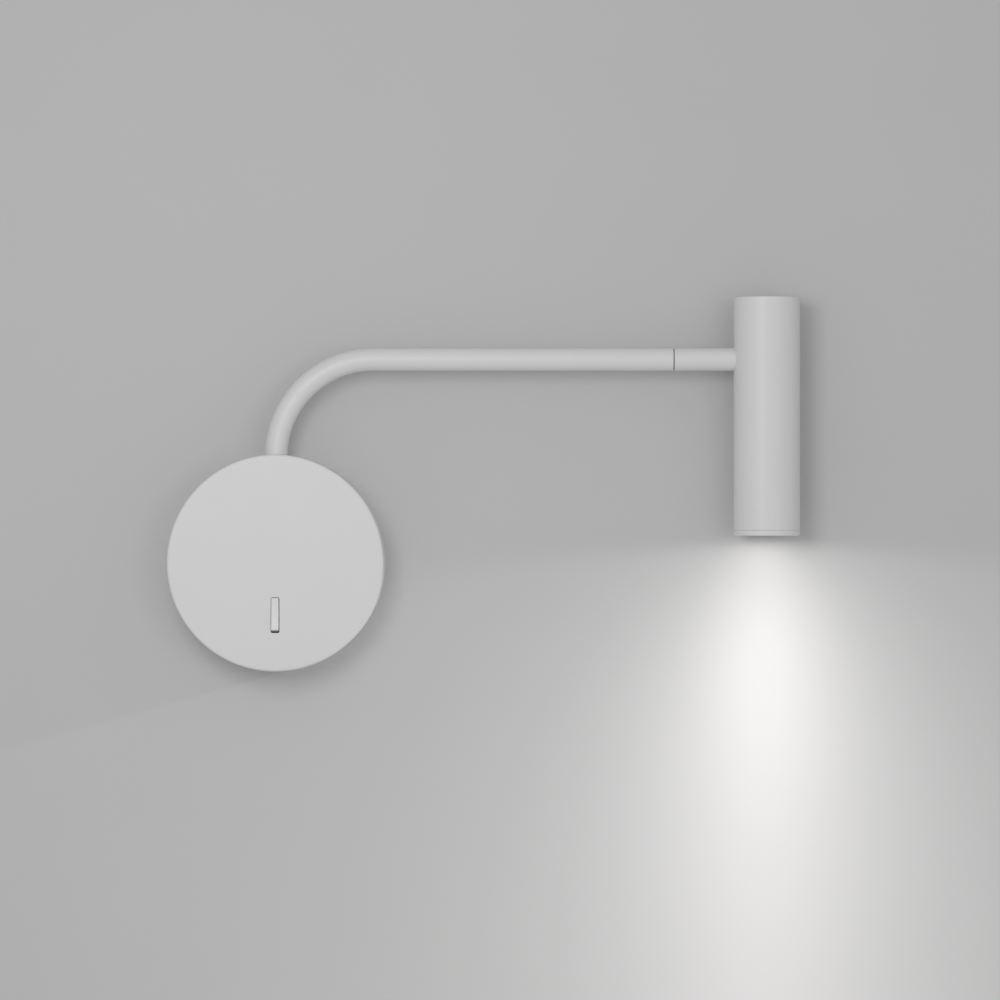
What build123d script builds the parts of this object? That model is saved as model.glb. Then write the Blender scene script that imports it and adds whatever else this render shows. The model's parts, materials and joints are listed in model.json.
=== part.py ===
from build123d import *
import os
from math import copysign, cos, radians, sin, tan

# Bedside wall reading lamp: a round wall base with a rocker switch, a swinging arm of bent tube,
# and a spotlight head that turns at the end of the arm.
# Millimetres. The origin is the centre of the base's back, on the wall. +X is to the right, +Z is
# up, and the lamp stands out from the wall towards -Y. A "depth" is a distance out from the wall.

# Driving dimensions: what the eye sees
BASE_DIAMETER = 120.0
BASE_DEPTH = 34.0
COVER_WALL = 2.0
COVER_EDGE_RADIUS = 1.2
TUBE_DIAMETER = 12.7
TUBE_WALL = 1.2
ARM_DEPTH = 22.0  # the arm's and the head's axes, out from the wall
BEND_RADIUS = 54.0
RUN_HEIGHT = 113.0  # the level run of the arm
SEAM_X = 221.0  # the joint between the arm and the head's stub
SEAM_GAP = 0.6
HEAD_DIAMETER = 36.8
HEAD_X = 272.7
HEAD_TOP = 147.4
HEAD_BOTTOM = 15.1
TRIM_HEIGHT = 3.0
SWITCH_Z = -28.8
SLOT_WIDTH = 4.7
SLOT_LENGTH = 19.6
ROCKER_TILT = 6.0  # degrees either side of level

# Wall fixing
WALL_SCREW_SPACING = 60.0
WALL_SLOT_WIDTH = 4.5
WALL_SLOT_LENGTH = 14.0
BRACKET_RADIUS = 53.0
BRACKET_PLATE = 1.5
CABLE_HOLE_Z = -13.0
GROMMET_BORE = 4.0
GROMMET_WALL = 2.0

# Fits
RUNNING = 0.05  # radial clearance of a shaft that turns
SEATED = 0.02  # radial clearance of a piece that is pressed or glued in

BASE_RADIUS = BASE_DIAMETER / 2
COVER_INSIDE = BASE_DEPTH - COVER_WALL
TUBE_RADIUS = TUBE_DIAMETER / 2
TUBE_BORE = TUBE_RADIUS - TUBE_WALL
HEAD_RADIUS = HEAD_DIAMETER / 2
BEND_START = RUN_HEIGHT - BEND_RADIUS
TUBE_END = SEAM_X - SEAM_GAP / 2
STUB_START = SEAM_X + SEAM_GAP / 2
THROUGH = 200.0  # longer than anything that it cuts
DRIVE_SIZE = 0.75  # a screw's hexagonal drive, as a share of its shank
DRIVE_DEPTH = 0.6  # and as a share of the height of its head
BEND_SHARE = 0.45  # of a wire's shorter run, given to the arc at its corner


def at_depth(depth):
    """A plane parallel to the wall; extruding from it goes away from the wall."""
    return Plane.XZ.offset(depth)


def arm_level(height):
    """A level plane centred on the arm's upright axis."""
    return Plane((0, -ARM_DEPTH, height))


def head_level(height):
    """A level plane centred on the head's axis."""
    return Plane((HEAD_X, -ARM_DEPTH, height))


def run_station(x):
    """A plane across the level run of the arm; its own x is depth and its y is height."""
    return Plane(origin=(x, -ARM_DEPTH, RUN_HEIGHT), x_dir=(0, 1, 0), z_dir=(1, 0, 0))


def sleeve(plane, outer_radius, bore_radius, length):
    """A plain ring, washer or tube that stands on a plane."""
    with BuildPart() as ring:
        with BuildSketch(plane):
            Circle(outer_radius)
            Circle(bore_radius, mode=Mode.SUBTRACT)
        extrude(amount=length)
    return ring


def ring_sector(inner_radius, outer_radius, start, sweep_angle):
    """A flat sector of a ring, for the stops."""
    with BuildSketch() as sector:
        with BuildLine():
            outer = CenterArc((0, 0), outer_radius, start, sweep_angle)
            inner = CenterArc((0, 0), inner_radius, start, sweep_angle)
            Line(outer @ 0, inner @ 0)
            Line(outer @ 1, inner @ 1)
        make_face()
    return sector.sketch


def flatted_disc(radius, flat):
    """A disc with one flat, for a keyed spindle and the washers on it."""
    with BuildSketch() as disc:
        Circle(radius)
        with Locations((flat - THROUGH / 2, 0)):
            Rectangle(THROUGH, THROUGH, mode=Mode.INTERSECT)
    return disc.sketch


def spring_washer(plane, outer_radius, bore_radius, thickness, rise):
    """A conical spring washer that stands on its outer edge."""
    with BuildPart() as cone:
        with BuildSketch(Plane(plane.origin, x_dir=plane.x_dir, z_dir=-plane.y_dir)):
            Polygon(
                (outer_radius, 0),
                (outer_radius, thickness),
                (bore_radius, thickness + rise),
                (bore_radius, rise),
                align=None,
            )
        revolve(axis=Axis(plane.origin, plane.z_dir))
    return cone


def pan_screw(plane, places, shank_radius, head_radius, head_height, length):
    """Pan-head screws with their heads on a plane; a negative length points them the other way."""
    outwards = copysign(head_height, -length)
    with BuildPart() as screws:
        with BuildSketch(plane):
            with Locations(*places):
                Circle(shank_radius)
        extrude(amount=length)
        with BuildSketch(plane):
            with Locations(*places):
                Circle(head_radius)
        extrude(amount=outwards)
        with BuildSketch(plane.offset(outwards)):
            with Locations(*places):
                RegularPolygon(shank_radius * DRIVE_SIZE, 6)
        extrude(amount=-outwards * DRIVE_DEPTH, mode=Mode.SUBTRACT)
    return screws


def wire(diameter, points):
    """A round wire along straight runs, joined by arcs as large as the runs allow."""
    stops = [Vector(*point) for point in points]
    radii = []
    for before, corner, after in zip(stops, stops[1:], stops[2:]):
        turn = (corner - before).get_angle(after - corner)
        shorter = min((corner - before).length, (after - corner).length)
        radii.append(BEND_SHARE * shorter / tan(radians(turn / 2)))
    with BuildPart() as run:
        with BuildLine() as route:
            FilletPolyline(*stops, radius=radii)
        with BuildSketch(Plane(stops[0], z_dir=stops[1] - stops[0])):
            Circle(diameter / 2)
        sweep(path=route.wire())
    return run


# ---------------------------------------------------------------- base: wall bracket and cover

COVER_SCREW_DEPTH = 8.0
COVER_SCREW_RADIUS = 1.5
COVER_SCREW_HEAD = 3.0
COVER_SCREW_FACE = BASE_RADIUS - 0.2
COVER_SCREW_NECK = BASE_RADIUS - 1.7
COVER_SCREW_END = BASE_RADIUS - 7
EAR_OUTSIDE = 57.2
EAR_DEPTH = 13.0
EAR_WIDTH = 14.0
EAR_BEND = 2.0
EAR_ROOT = BRACKET_RADIUS - 4
DRIVER_SCREWS = [(-33, 31), (-33, -31)]
EARTH_PLACE = (14, -36)
TERMINAL_PEGS = [(30, 10), (30, -10)]
M4_RADIUS = 2.0
M4_HEAD_RADIUS = 3.6
M4_HEAD = 2.5
M3_RADIUS = 1.5
M3_HEAD_RADIUS = 2.7
M3_HEAD = 2.1
SCREW_HOLE = 0.1  # added to a screw's radius where it passes through freely
PEG_RADIUS = 1.5
BEHIND_PLATE = 0.2  # what ends this short of the wall doesn't keep the bracket off it

with BuildPart() as wall_bracket:
    with BuildSketch(at_depth(0)):
        Circle(BRACKET_RADIUS)
        with GridLocations(0, WALL_SCREW_SPACING, 1, 2):
            SlotOverall(WALL_SLOT_LENGTH, WALL_SLOT_WIDTH, rotation=90, mode=Mode.SUBTRACT)
        with Locations((0, CABLE_HOLE_Z)):
            Circle(GROMMET_BORE + GROMMET_WALL, mode=Mode.SUBTRACT)
        with Locations(*DRIVER_SCREWS):
            Circle(M3_RADIUS + SEATED, mode=Mode.SUBTRACT)
        with Locations(*TERMINAL_PEGS):
            Circle(PEG_RADIUS + SEATED, mode=Mode.SUBTRACT)
        with Locations(EARTH_PLACE):
            Circle(M4_RADIUS + SEATED, mode=Mode.SUBTRACT)
    extrude(amount=BRACKET_PLATE)
    # an ear bent up at each side takes a cover screw
    with BuildSketch(Plane.XY) as ear:
        with BuildLine():
            FilletPolyline(
                (EAR_ROOT, 0),
                (EAR_OUTSIDE, 0),
                (EAR_OUTSIDE, -EAR_DEPTH),
                radius=EAR_BEND,
            )
            FilletPolyline(
                (EAR_OUTSIDE - BRACKET_PLATE, -EAR_DEPTH),
                (EAR_OUTSIDE - BRACKET_PLATE, -BRACKET_PLATE),
                (EAR_ROOT, -BRACKET_PLATE),
                radius=EAR_BEND - BRACKET_PLATE,
            )
            Line((EAR_OUTSIDE, -EAR_DEPTH), (EAR_OUTSIDE - BRACKET_PLATE, -EAR_DEPTH))
            Line((EAR_ROOT, 0), (EAR_ROOT, -BRACKET_PLATE))
        make_face()
        mirror(about=Plane.YZ)
    extrude(amount=EAR_WIDTH / 2, both=True)
    with BuildSketch(Plane.YZ):
        with Locations((-COVER_SCREW_DEPTH, 0)):
            Circle(COVER_SCREW_RADIUS + SEATED)
    extrude(amount=THROUGH, both=True, mode=Mode.SUBTRACT)

GROMMET_LIP = 1.2
GROMMET_REACH = 2.0  # how far its lip covers the plate
GROMMET_CHAMFER = 2.5

with BuildPart() as cable_grommet:
    with BuildSketch(Plane.YZ):
        with BuildLine():
            Polyline(
                (0, CABLE_HOLE_Z + GROMMET_BORE),
                (0, CABLE_HOLE_Z + GROMMET_BORE + GROMMET_WALL - SEATED),
                (-BRACKET_PLATE, CABLE_HOLE_Z + GROMMET_BORE + GROMMET_WALL - SEATED),
                (-BRACKET_PLATE, CABLE_HOLE_Z + GROMMET_BORE + GROMMET_WALL + GROMMET_REACH),
                (-BRACKET_PLATE - GROMMET_LIP, CABLE_HOLE_Z + GROMMET_BORE + GROMMET_WALL + GROMMET_REACH),
                (-BRACKET_PLATE - 2 * GROMMET_LIP, CABLE_HOLE_Z + GROMMET_BORE + GROMMET_CHAMFER),
                (-BRACKET_PLATE - 2 * GROMMET_LIP, CABLE_HOLE_Z + GROMMET_BORE),
                close=True,
            )
        make_face()
    revolve(axis=Axis((0, 0, CABLE_HOLE_Z), (0, 1, 0)))

BLOCK_SCREWS = [(-18.5, 42), (18.5, 42)]
BLOCK_TOP = 54.0
BLOCK_EAR_DEPTH = 20.0
BLOCK_EAR = 4.0
SWITCH_SCREWS = [(0, SWITCH_Z - 16), (0, SWITCH_Z + 16)]
SWITCH_EAR_DEPTH = 25.0
SWITCH_EAR = 2.0
ARM_HOLE_GAP = 0.3
SLOT_CORNER = 0.8
RIM_DRILL = 2 * COVER_WALL

with BuildPart() as base_cover:
    with BuildSketch(at_depth(0)):
        Circle(BASE_RADIUS)
    extrude(amount=BASE_DEPTH)
    fillet(base_cover.faces().sort_by(Axis.Y)[0].edges(), radius=COVER_EDGE_RADIUS)
    with BuildSketch(at_depth(0)):
        Circle(BASE_RADIUS - COVER_WALL)
    extrude(amount=COVER_INSIDE, mode=Mode.SUBTRACT)
    # bosses behind the front wall for the swivel block and the switch
    with BuildSketch(at_depth(COVER_INSIDE)):
        with Locations(*BLOCK_SCREWS):
            Circle(M4_RADIUS * 2)
    extrude(amount=BLOCK_EAR_DEPTH + BLOCK_EAR - COVER_INSIDE)
    with BuildSketch(at_depth(COVER_INSIDE)):
        with Locations(*SWITCH_SCREWS):
            Circle(M3_RADIUS * 2)
    extrude(amount=SWITCH_EAR_DEPTH + SWITCH_EAR - COVER_INSIDE)
    with BuildSketch(at_depth(COVER_INSIDE)):
        with Locations(*BLOCK_SCREWS):
            Circle(M4_RADIUS)
        with Locations(*SWITCH_SCREWS):
            Circle(M3_RADIUS)
    extrude(amount=-BASE_DEPTH / 2, mode=Mode.SUBTRACT)
    # the arm's way in through the top of the rim
    with BuildSketch(arm_level(BLOCK_TOP)):
        Circle(TUBE_RADIUS + ARM_HOLE_GAP)
    extrude(amount=THROUGH, mode=Mode.SUBTRACT)
    # the slot for the rocker
    with BuildSketch(at_depth(BASE_DEPTH)):
        with Locations((0, SWITCH_Z)):
            RectangleRounded(SLOT_WIDTH, SLOT_LENGTH, SLOT_CORNER)
    extrude(amount=-COVER_WALL, mode=Mode.SUBTRACT)
    # countersunk holes in both sides of the rim for the cover screws
    for side in (-1, 1):
        screw_seat = Plane((side * BASE_RADIUS, -COVER_SCREW_DEPTH, 0), x_dir=(0, 1, 0), z_dir=(side, 0, 0))
        with Locations(screw_seat):
            CounterSinkHole(COVER_SCREW_RADIUS + SCREW_HOLE, COVER_SCREW_HEAD + SCREW_HOLE, depth=RIM_DRILL)

with BuildPart() as cover_screws:
    with BuildSketch(Plane.XY):
        with BuildLine():
            Polyline(
                (COVER_SCREW_FACE, -COVER_SCREW_DEPTH),
                (COVER_SCREW_FACE, -COVER_SCREW_DEPTH - COVER_SCREW_HEAD + SCREW_HOLE),
                (COVER_SCREW_NECK, -COVER_SCREW_DEPTH - COVER_SCREW_RADIUS),
                (COVER_SCREW_END, -COVER_SCREW_DEPTH - COVER_SCREW_RADIUS),
                (COVER_SCREW_END, -COVER_SCREW_DEPTH),
                close=True,
            )
        make_face()
    revolve(axis=Axis((0, -COVER_SCREW_DEPTH, 0), (1, 0, 0)))
    screw_face = Plane((COVER_SCREW_FACE, -COVER_SCREW_DEPTH, 0), x_dir=(0, 1, 0), z_dir=(1, 0, 0))
    with BuildSketch(screw_face):
        RegularPolygon(COVER_SCREW_RADIUS * DRIVE_SIZE, 6)
    extrude(amount=COVER_SCREW_NECK - COVER_SCREW_FACE, mode=Mode.SUBTRACT)
    mirror(about=Plane.YZ)

# ---------------------------------------------------------------- base: the arm's swivel

BLOCK_BOTTOM = 24.0
BLOCK_FLOOR = 5.0
BLOCK_WIDTH = 22.0
BLOCK_BACK = 12.0
BLOCK_FRONT = 31.6
BLOCK_CORNER = 2.0
BLOCK_EAR_SPAN = 48.0
BLOCK_EAR_HEIGHT = 12.0
BLOCK_SCREW = 10.5
UPPER_BUSH = 10.0
LOWER_BUSH = 9.0
BUSH_RADIUS = 7.5
BUSH_FLANGE_RADIUS = 9.0
BUSH_FLANGE = 1.2
SPINDLE_RADIUS = 5.0
SPINDLE_BORE = 3.2
SPINDLE_FLAT = 4.2
THRUST_WASHER = 1.0
TUBE_FOOT = BLOCK_BOTTOM + BLOCK_FLOOR + THRUST_WASHER
STOP_INNER = 8.0
STOP_OUTER = 9.6
STOP_HEIGHT = 2.6
WASHER_RADIUS = 7.6
TAB_RADIUS = 9.4
TAB_WIDTH = 3.0
STOP_MARGIN = 12.0  # degrees between the stop's end and the middle of the tab resting at it

with BuildPart() as swivel_block:
    with BuildSketch(arm_level(BLOCK_BOTTOM)):
        with Locations((0, ARM_DEPTH - (BLOCK_BACK + BLOCK_FRONT) / 2)):
            RectangleRounded(BLOCK_WIDTH, BLOCK_FRONT - BLOCK_BACK, BLOCK_CORNER)
    extrude(amount=BLOCK_TOP - BLOCK_BOTTOM)
    with BuildSketch(at_depth(BLOCK_EAR_DEPTH)):
        with Locations((0, BLOCK_SCREWS[0][1])):
            RectangleRounded(BLOCK_EAR_SPAN, BLOCK_EAR_HEIGHT, BLOCK_CORNER)
    extrude(amount=BLOCK_EAR)
    with BuildSketch(at_depth(BLOCK_EAR_DEPTH)):
        with Locations(*BLOCK_SCREWS):
            Circle(M4_RADIUS + SCREW_HOLE)
    extrude(amount=BLOCK_EAR, mode=Mode.SUBTRACT)
    with BuildSketch(arm_level(BLOCK_BOTTOM + BLOCK_FLOOR)):
        Circle(BUSH_RADIUS + SEATED)
    extrude(amount=THROUGH, mode=Mode.SUBTRACT)
    with BuildSketch(arm_level(BLOCK_BOTTOM)):
        Circle(SPINDLE_RADIUS + RUNNING)
    extrude(amount=BLOCK_FLOOR, mode=Mode.SUBTRACT)
    # the half ring that stops the arm at both ends of its swing
    with BuildSketch(arm_level(BLOCK_BOTTOM)):
        add(ring_sector(STOP_INNER, STOP_OUTER, 180 + STOP_MARGIN, 180 - 2 * STOP_MARGIN))
    extrude(amount=-STOP_HEIGHT)

block_screws = pan_screw(
    at_depth(BLOCK_EAR_DEPTH), BLOCK_SCREWS, M4_RADIUS - SEATED, M4_HEAD_RADIUS, M4_HEAD, BLOCK_SCREW
)

with BuildPart() as upper_bush:
    with BuildSketch(arm_level(BLOCK_TOP)):
        Circle(BUSH_FLANGE_RADIUS)
    extrude(amount=BUSH_FLANGE)
    with BuildSketch(arm_level(BLOCK_TOP)):
        Circle(BUSH_RADIUS)
    extrude(amount=-UPPER_BUSH)
    with BuildSketch(arm_level(0)):
        Circle(TUBE_RADIUS + RUNNING)
    extrude(amount=THROUGH, mode=Mode.SUBTRACT)

lower_bush = sleeve(arm_level(BLOCK_BOTTOM + BLOCK_FLOOR), BUSH_RADIUS, TUBE_RADIUS + RUNNING, LOWER_BUSH)
thrust_washer = sleeve(
    arm_level(BLOCK_BOTTOM + BLOCK_FLOOR), TUBE_RADIUS - RUNNING, SPINDLE_RADIUS + 2 * RUNNING, THRUST_WASHER
)

# ---------------------------------------------------------------- base: driver and terminals

DRIVER_LEFT = -46.0
DRIVER_RIGHT = -20.0
DRIVER_HALF_HEIGHT = 27.0
DRIVER_BACK = BRACKET_PLATE
DRIVER_LID_DEPTH = 20.0
DRIVER_WALL = 1.5
DRIVER_CORNER = 2.0
DRIVER_FOOT = 2.0
DRIVER_FOOT_WIDTH = 9.0
DRIVER_FOOT_LENGTH = 12.0
BOARD_GAP = 0.2  # all round the board and the lid's rim
TRANSFORMER = 14.0
CAPACITOR_RADIUS = 4.0
INDUCTOR_RADIUS = 3.2
CHOKE = (8.0, 5.0)
CHIP = (6.0, 8.0)
CHIP_HEIGHT = 1.6
TALL_PARTS = 9.0
DRIVER_MIDDLE = (DRIVER_LEFT + DRIVER_RIGHT) / 2
DRIVER_WIDTH = DRIVER_RIGHT - DRIVER_LEFT
BOARD_WIDTH = DRIVER_WIDTH - 2 * DRIVER_WALL - 2 * BOARD_GAP
BOARD_HEIGHT = 2 * (DRIVER_HALF_HEIGHT - DRIVER_WALL - BOARD_GAP)
BOARD_DEPTH = 6.0
BOARD = 1.6
WIRE = 1.8
CABLE = 4.0
NEUTRAL_INLET = -38.0
SWITCHED_INLET = -27.0
INLET_DEPTH = 10.0
OUTLET_DEPTH = 12.0

with BuildPart() as driver_case:
    with BuildSketch(at_depth(DRIVER_BACK)):
        with Locations((DRIVER_MIDDLE, 0)):
            RectangleRounded(DRIVER_WIDTH, 2 * DRIVER_HALF_HEIGHT, DRIVER_CORNER)
    extrude(amount=DRIVER_LID_DEPTH - DRIVER_BACK)
    with BuildSketch(at_depth(BOARD_DEPTH)):
        with Locations((DRIVER_MIDDLE, 0)):
            Rectangle(DRIVER_WIDTH - 2 * DRIVER_WALL, 2 * (DRIVER_HALF_HEIGHT - DRIVER_WALL))
    extrude(amount=THROUGH, mode=Mode.SUBTRACT)
    # the space under the board leaves a ledge all round for it
    with BuildSketch(at_depth(DRIVER_BACK + DRIVER_WALL)):
        with Locations((DRIVER_MIDDLE, 0)):
            Rectangle(DRIVER_WIDTH - 4 * DRIVER_WALL, 2 * (DRIVER_HALF_HEIGHT - 2 * DRIVER_WALL))
    extrude(amount=THROUGH, mode=Mode.SUBTRACT)
    # a foot at each end for its screw
    with BuildSketch(at_depth(DRIVER_BACK)):
        with Locations(*DRIVER_SCREWS):
            RectangleRounded(DRIVER_FOOT_WIDTH, DRIVER_FOOT_LENGTH, DRIVER_CORNER)
        with Locations(*DRIVER_SCREWS):
            Circle(M3_RADIUS + SCREW_HOLE, mode=Mode.SUBTRACT)
        with Locations((DRIVER_MIDDLE, 0)):
            Rectangle(DRIVER_WIDTH, 2 * DRIVER_HALF_HEIGHT - DRIVER_WALL, mode=Mode.SUBTRACT)
    extrude(amount=DRIVER_FOOT)
    with BuildSketch(Plane.XY):
        with Locations((NEUTRAL_INLET, -INLET_DEPTH), (SWITCHED_INLET, -INLET_DEPTH)):
            Circle(WIRE / 2 + BOARD_GAP)
    extrude(amount=-THROUGH, mode=Mode.SUBTRACT)
    with BuildSketch(Plane.XY):
        with Locations((DRIVER_MIDDLE, -OUTLET_DEPTH)):
            Circle(CABLE / 2 + BOARD_GAP)
    extrude(amount=THROUGH, mode=Mode.SUBTRACT)

with BuildPart() as driver_lid:
    with BuildSketch(at_depth(DRIVER_LID_DEPTH)):
        with Locations((DRIVER_MIDDLE, 0)):
            RectangleRounded(DRIVER_WIDTH, 2 * DRIVER_HALF_HEIGHT, DRIVER_CORNER)
    extrude(amount=DRIVER_WALL)
    with BuildSketch(at_depth(DRIVER_LID_DEPTH)):
        with Locations((DRIVER_MIDDLE, 0)):
            Rectangle(BOARD_WIDTH, BOARD_HEIGHT)
            Rectangle(BOARD_WIDTH - 2 * DRIVER_WALL, BOARD_HEIGHT - 2 * DRIVER_WALL, mode=Mode.SUBTRACT)
    extrude(amount=-DRIVER_WALL)

with BuildPart() as driver_board:
    with BuildSketch(at_depth(BOARD_DEPTH)):
        with Locations((DRIVER_MIDDLE, 0)):
            Rectangle(BOARD_WIDTH, BOARD_HEIGHT)
    extrude(amount=BOARD)
    with BuildSketch(at_depth(BOARD_DEPTH + BOARD)):
        with Locations((DRIVER_MIDDLE, 2)):
            Rectangle(TRANSFORMER, TRANSFORMER)
        with Locations((DRIVER_MIDDLE - 5, -13)):
            Circle(CAPACITOR_RADIUS)
        with Locations((DRIVER_MIDDLE + 5.5, -13)):
            Circle(INDUCTOR_RADIUS)
        with Locations((DRIVER_MIDDLE - 5, 16)):
            Rectangle(*CHOKE)
    extrude(amount=TALL_PARTS)
    with BuildSketch(at_depth(BOARD_DEPTH + BOARD)):
        with Locations((DRIVER_MIDDLE + 6, 15)):
            Rectangle(*CHIP)
    extrude(amount=CHIP_HEIGHT)

driver_screws = pan_screw(
    at_depth(DRIVER_BACK + DRIVER_FOOT),
    DRIVER_SCREWS,
    M3_RADIUS,
    M3_HEAD_RADIUS,
    M3_HEAD,
    BEHIND_PLATE - DRIVER_BACK - DRIVER_FOOT,
)

TERMINAL_X = 30.0
POLES = (8.5, 0.0, -8.5)
POLE_WIDTH = 7.0
POLE_LENGTH = 14.0
TERMINAL_BASE = 4.0
TERMINAL_TOP = 14.5
ENTRY_DEPTH = 9.0
ENTRY_RADIUS = 1.5
TERMINAL_WIDTH = 20.0
TERMINAL_HEIGHT = 26.0
TERMINAL_CORNER = 1.0
CLAMP_SPREAD = 3.5
CLAMP_RADIUS = 1.6
CLAMP_START = ENTRY_DEPTH + ENTRY_RADIUS
CLAMP_LENGTH = 3.4
CLAMP_SLOT = 0.6
TAG = 0.8
TAG_RADIUS = 4.0
TAG_NECK = 3.0
BARREL = 5.0
BARREL_RADIUS = 1.5
BARREL_START = 5.5
CLAMP_SCREWS = [(TERMINAL_X + offset, pole) for pole in POLES for offset in (-CLAMP_SPREAD, CLAMP_SPREAD)]

with BuildPart() as terminal_block:
    with BuildSketch(at_depth(BRACKET_PLATE)):
        with Locations((TERMINAL_X, 0)):
            RectangleRounded(TERMINAL_WIDTH, TERMINAL_HEIGHT, TERMINAL_CORNER)
    extrude(amount=TERMINAL_BASE)
    with BuildSketch(at_depth(BRACKET_PLATE + TERMINAL_BASE)):
        with Locations(*[(TERMINAL_X, pole) for pole in POLES]):
            RectangleRounded(POLE_LENGTH, POLE_WIDTH, TERMINAL_CORNER)
    extrude(amount=TERMINAL_TOP - BRACKET_PLATE - TERMINAL_BASE)
    with BuildSketch(Plane.YZ):
        with Locations(*[(-ENTRY_DEPTH, pole) for pole in POLES]):
            Circle(ENTRY_RADIUS)
    extrude(amount=THROUGH, mode=Mode.SUBTRACT)
    with BuildSketch(at_depth(TERMINAL_TOP)):
        with Locations(*CLAMP_SCREWS):
            Circle(CLAMP_RADIUS + SCREW_HOLE)
    extrude(amount=ENTRY_DEPTH - TERMINAL_TOP, mode=Mode.SUBTRACT)
    with BuildSketch(at_depth(BRACKET_PLATE)):
        with Locations(*TERMINAL_PEGS):
            Circle(PEG_RADIUS)
    extrude(amount=BEHIND_PLATE - BRACKET_PLATE)

with BuildPart() as terminal_screws:
    with BuildSketch(at_depth(CLAMP_START)):
        with Locations(*CLAMP_SCREWS):
            Circle(CLAMP_RADIUS)
    extrude(amount=CLAMP_LENGTH)
    with BuildSketch(at_depth(CLAMP_START + CLAMP_LENGTH)):
        with Locations(*CLAMP_SCREWS):
            Rectangle(CLAMP_SLOT, 3 * CLAMP_RADIUS)
    extrude(amount=-CLAMP_SLOT, mode=Mode.SUBTRACT)

with BuildPart() as earth_tag:
    with BuildSketch(at_depth(BRACKET_PLATE)):
        with Locations(EARTH_PLACE):
            Circle(TAG_RADIUS)
        with Locations((EARTH_PLACE[0], EARTH_PLACE[1] + TAG_RADIUS)):
            Rectangle(2 * BARREL_RADIUS, 2 * BARREL_RADIUS + TAG_NECK)
        with Locations(EARTH_PLACE):
            Circle(M4_RADIUS + SCREW_HOLE, mode=Mode.SUBTRACT)
    extrude(amount=TAG)
    barrel_foot = Plane((EARTH_PLACE[0], -BRACKET_PLATE - BARREL_RADIUS, EARTH_PLACE[1] + BARREL_START))
    with BuildSketch(barrel_foot):
        Circle(BARREL_RADIUS)
    extrude(amount=BARREL)
    with BuildSketch(barrel_foot.offset(1)):
        Circle(WIRE / 2 + SEATED)
    extrude(amount=BARREL, mode=Mode.SUBTRACT)

earth_screw = pan_screw(
    at_depth(BRACKET_PLATE + TAG),
    [EARTH_PLACE],
    M4_RADIUS,
    M4_HEAD_RADIUS,
    M4_HEAD,
    BEHIND_PLATE - BRACKET_PLATE - TAG,
)

# ---------------------------------------------------------------- base: rocker switch

PIVOT_DEPTH = 28.7
PIVOT_RADIUS = 1.2
SWITCH_BACK = 17.0
SWITCH_FLOOR = 2.0
SWITCH_WIDTH = 9.0
SWITCH_CAVITY_WIDTH = 4.9
SWITCH_CAVITY = 20.6
SWITCH_HEIGHT = 25.0
SWITCH_CORNER = 1.0
SWITCH_EAR_SPAN = 39.0
SWITCH_EAR_WIDTH = 7.5
SWITCH_SCREW = 5.5
BLADE_GAP = 0.05
ROCKER_WIDTH = 4.1
ROCKER_HALF_LENGTH = 9.0
ROCKER_FRONT = 6.4  # from the pivot to the ends of the rocker's face
ROCKER_DISH = 0.25  # how far the middle of its face is below its ends
ROCKER_SKIRT = 3.0  # from the pivot to the back of its ends
NECK_WIDE = 3.0
NECK_NARROW = 2.0
NECK_END = 4.5
TRUNNION = 3.3
BAR_DEPTH = 20.8  # the contact bar's own pivot
BAR_HALF_LENGTH = 6.5
BAR_THICKNESS = 0.8
BAR_WIDTH = 3.0
BAR_TILT = 4.5
BAR_HUB = 0.5  # radius of the rounded back that it rocks on
CONTACT_OFFSET = -5.5
PLUNGER_START = 2.0  # from the pivot
PLUNGER_TIP = 7.4
PLUNGER_RADIUS = 1.1
BLADE_END_DEPTH = 11.0
BLADE_WIDTH = 3.2
BLADE = 0.8
SEAT_WIDTH = 2.4
SEAT_HEIGHT = 0.85
CONTACT_HEIGHT = 0.75
ROCKER_EDGE = 0.4


def tilted_plane(depth, degrees_in_at_top):
    """The plane of the switch's mechanism: x is up along the rocker, y is out from the wall."""
    tilt = radians(degrees_in_at_top)
    return Plane(
        origin=(0, -depth, SWITCH_Z), x_dir=(0, sin(tilt), cos(tilt)), z_dir=(1, 0, 0)
    )


# x is up and the plane's normal is +X, so the plane's own y points towards the room
with BuildPart() as switch_body:
    with BuildSketch(at_depth(SWITCH_BACK)):
        with Locations((0, SWITCH_Z)):
            RectangleRounded(SWITCH_WIDTH, SWITCH_HEIGHT, SWITCH_CORNER)
    extrude(amount=COVER_INSIDE - SWITCH_BACK)
    with BuildSketch(at_depth(SWITCH_BACK + SWITCH_FLOOR)):
        with Locations((0, SWITCH_Z)):
            Rectangle(SWITCH_CAVITY_WIDTH, SWITCH_CAVITY)
    extrude(amount=THROUGH, mode=Mode.SUBTRACT)
    with BuildSketch(at_depth(SWITCH_EAR_DEPTH)):
        with Locations((0, SWITCH_Z)):
            SlotOverall(SWITCH_EAR_SPAN, SWITCH_EAR_WIDTH, rotation=90)
            Rectangle(SWITCH_WIDTH, SWITCH_CAVITY, mode=Mode.SUBTRACT)
        with Locations(*SWITCH_SCREWS):
            Circle(M3_RADIUS + SCREW_HOLE, mode=Mode.SUBTRACT)
    extrude(amount=SWITCH_EAR)
    with BuildSketch(tilted_plane(PIVOT_DEPTH, 0)):
        Circle(PIVOT_RADIUS + RUNNING)
    extrude(amount=TRUNNION + 0.2, both=True, mode=Mode.SUBTRACT)
    with BuildSketch(at_depth(SWITCH_BACK)):
        with Locations((0, SWITCH_Z), (0, SWITCH_Z + CONTACT_OFFSET)):
            Rectangle(BLADE + 2 * BLADE_GAP, BLADE_WIDTH + 2 * BLADE_GAP)
    extrude(amount=SWITCH_FLOOR, mode=Mode.SUBTRACT)

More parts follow.
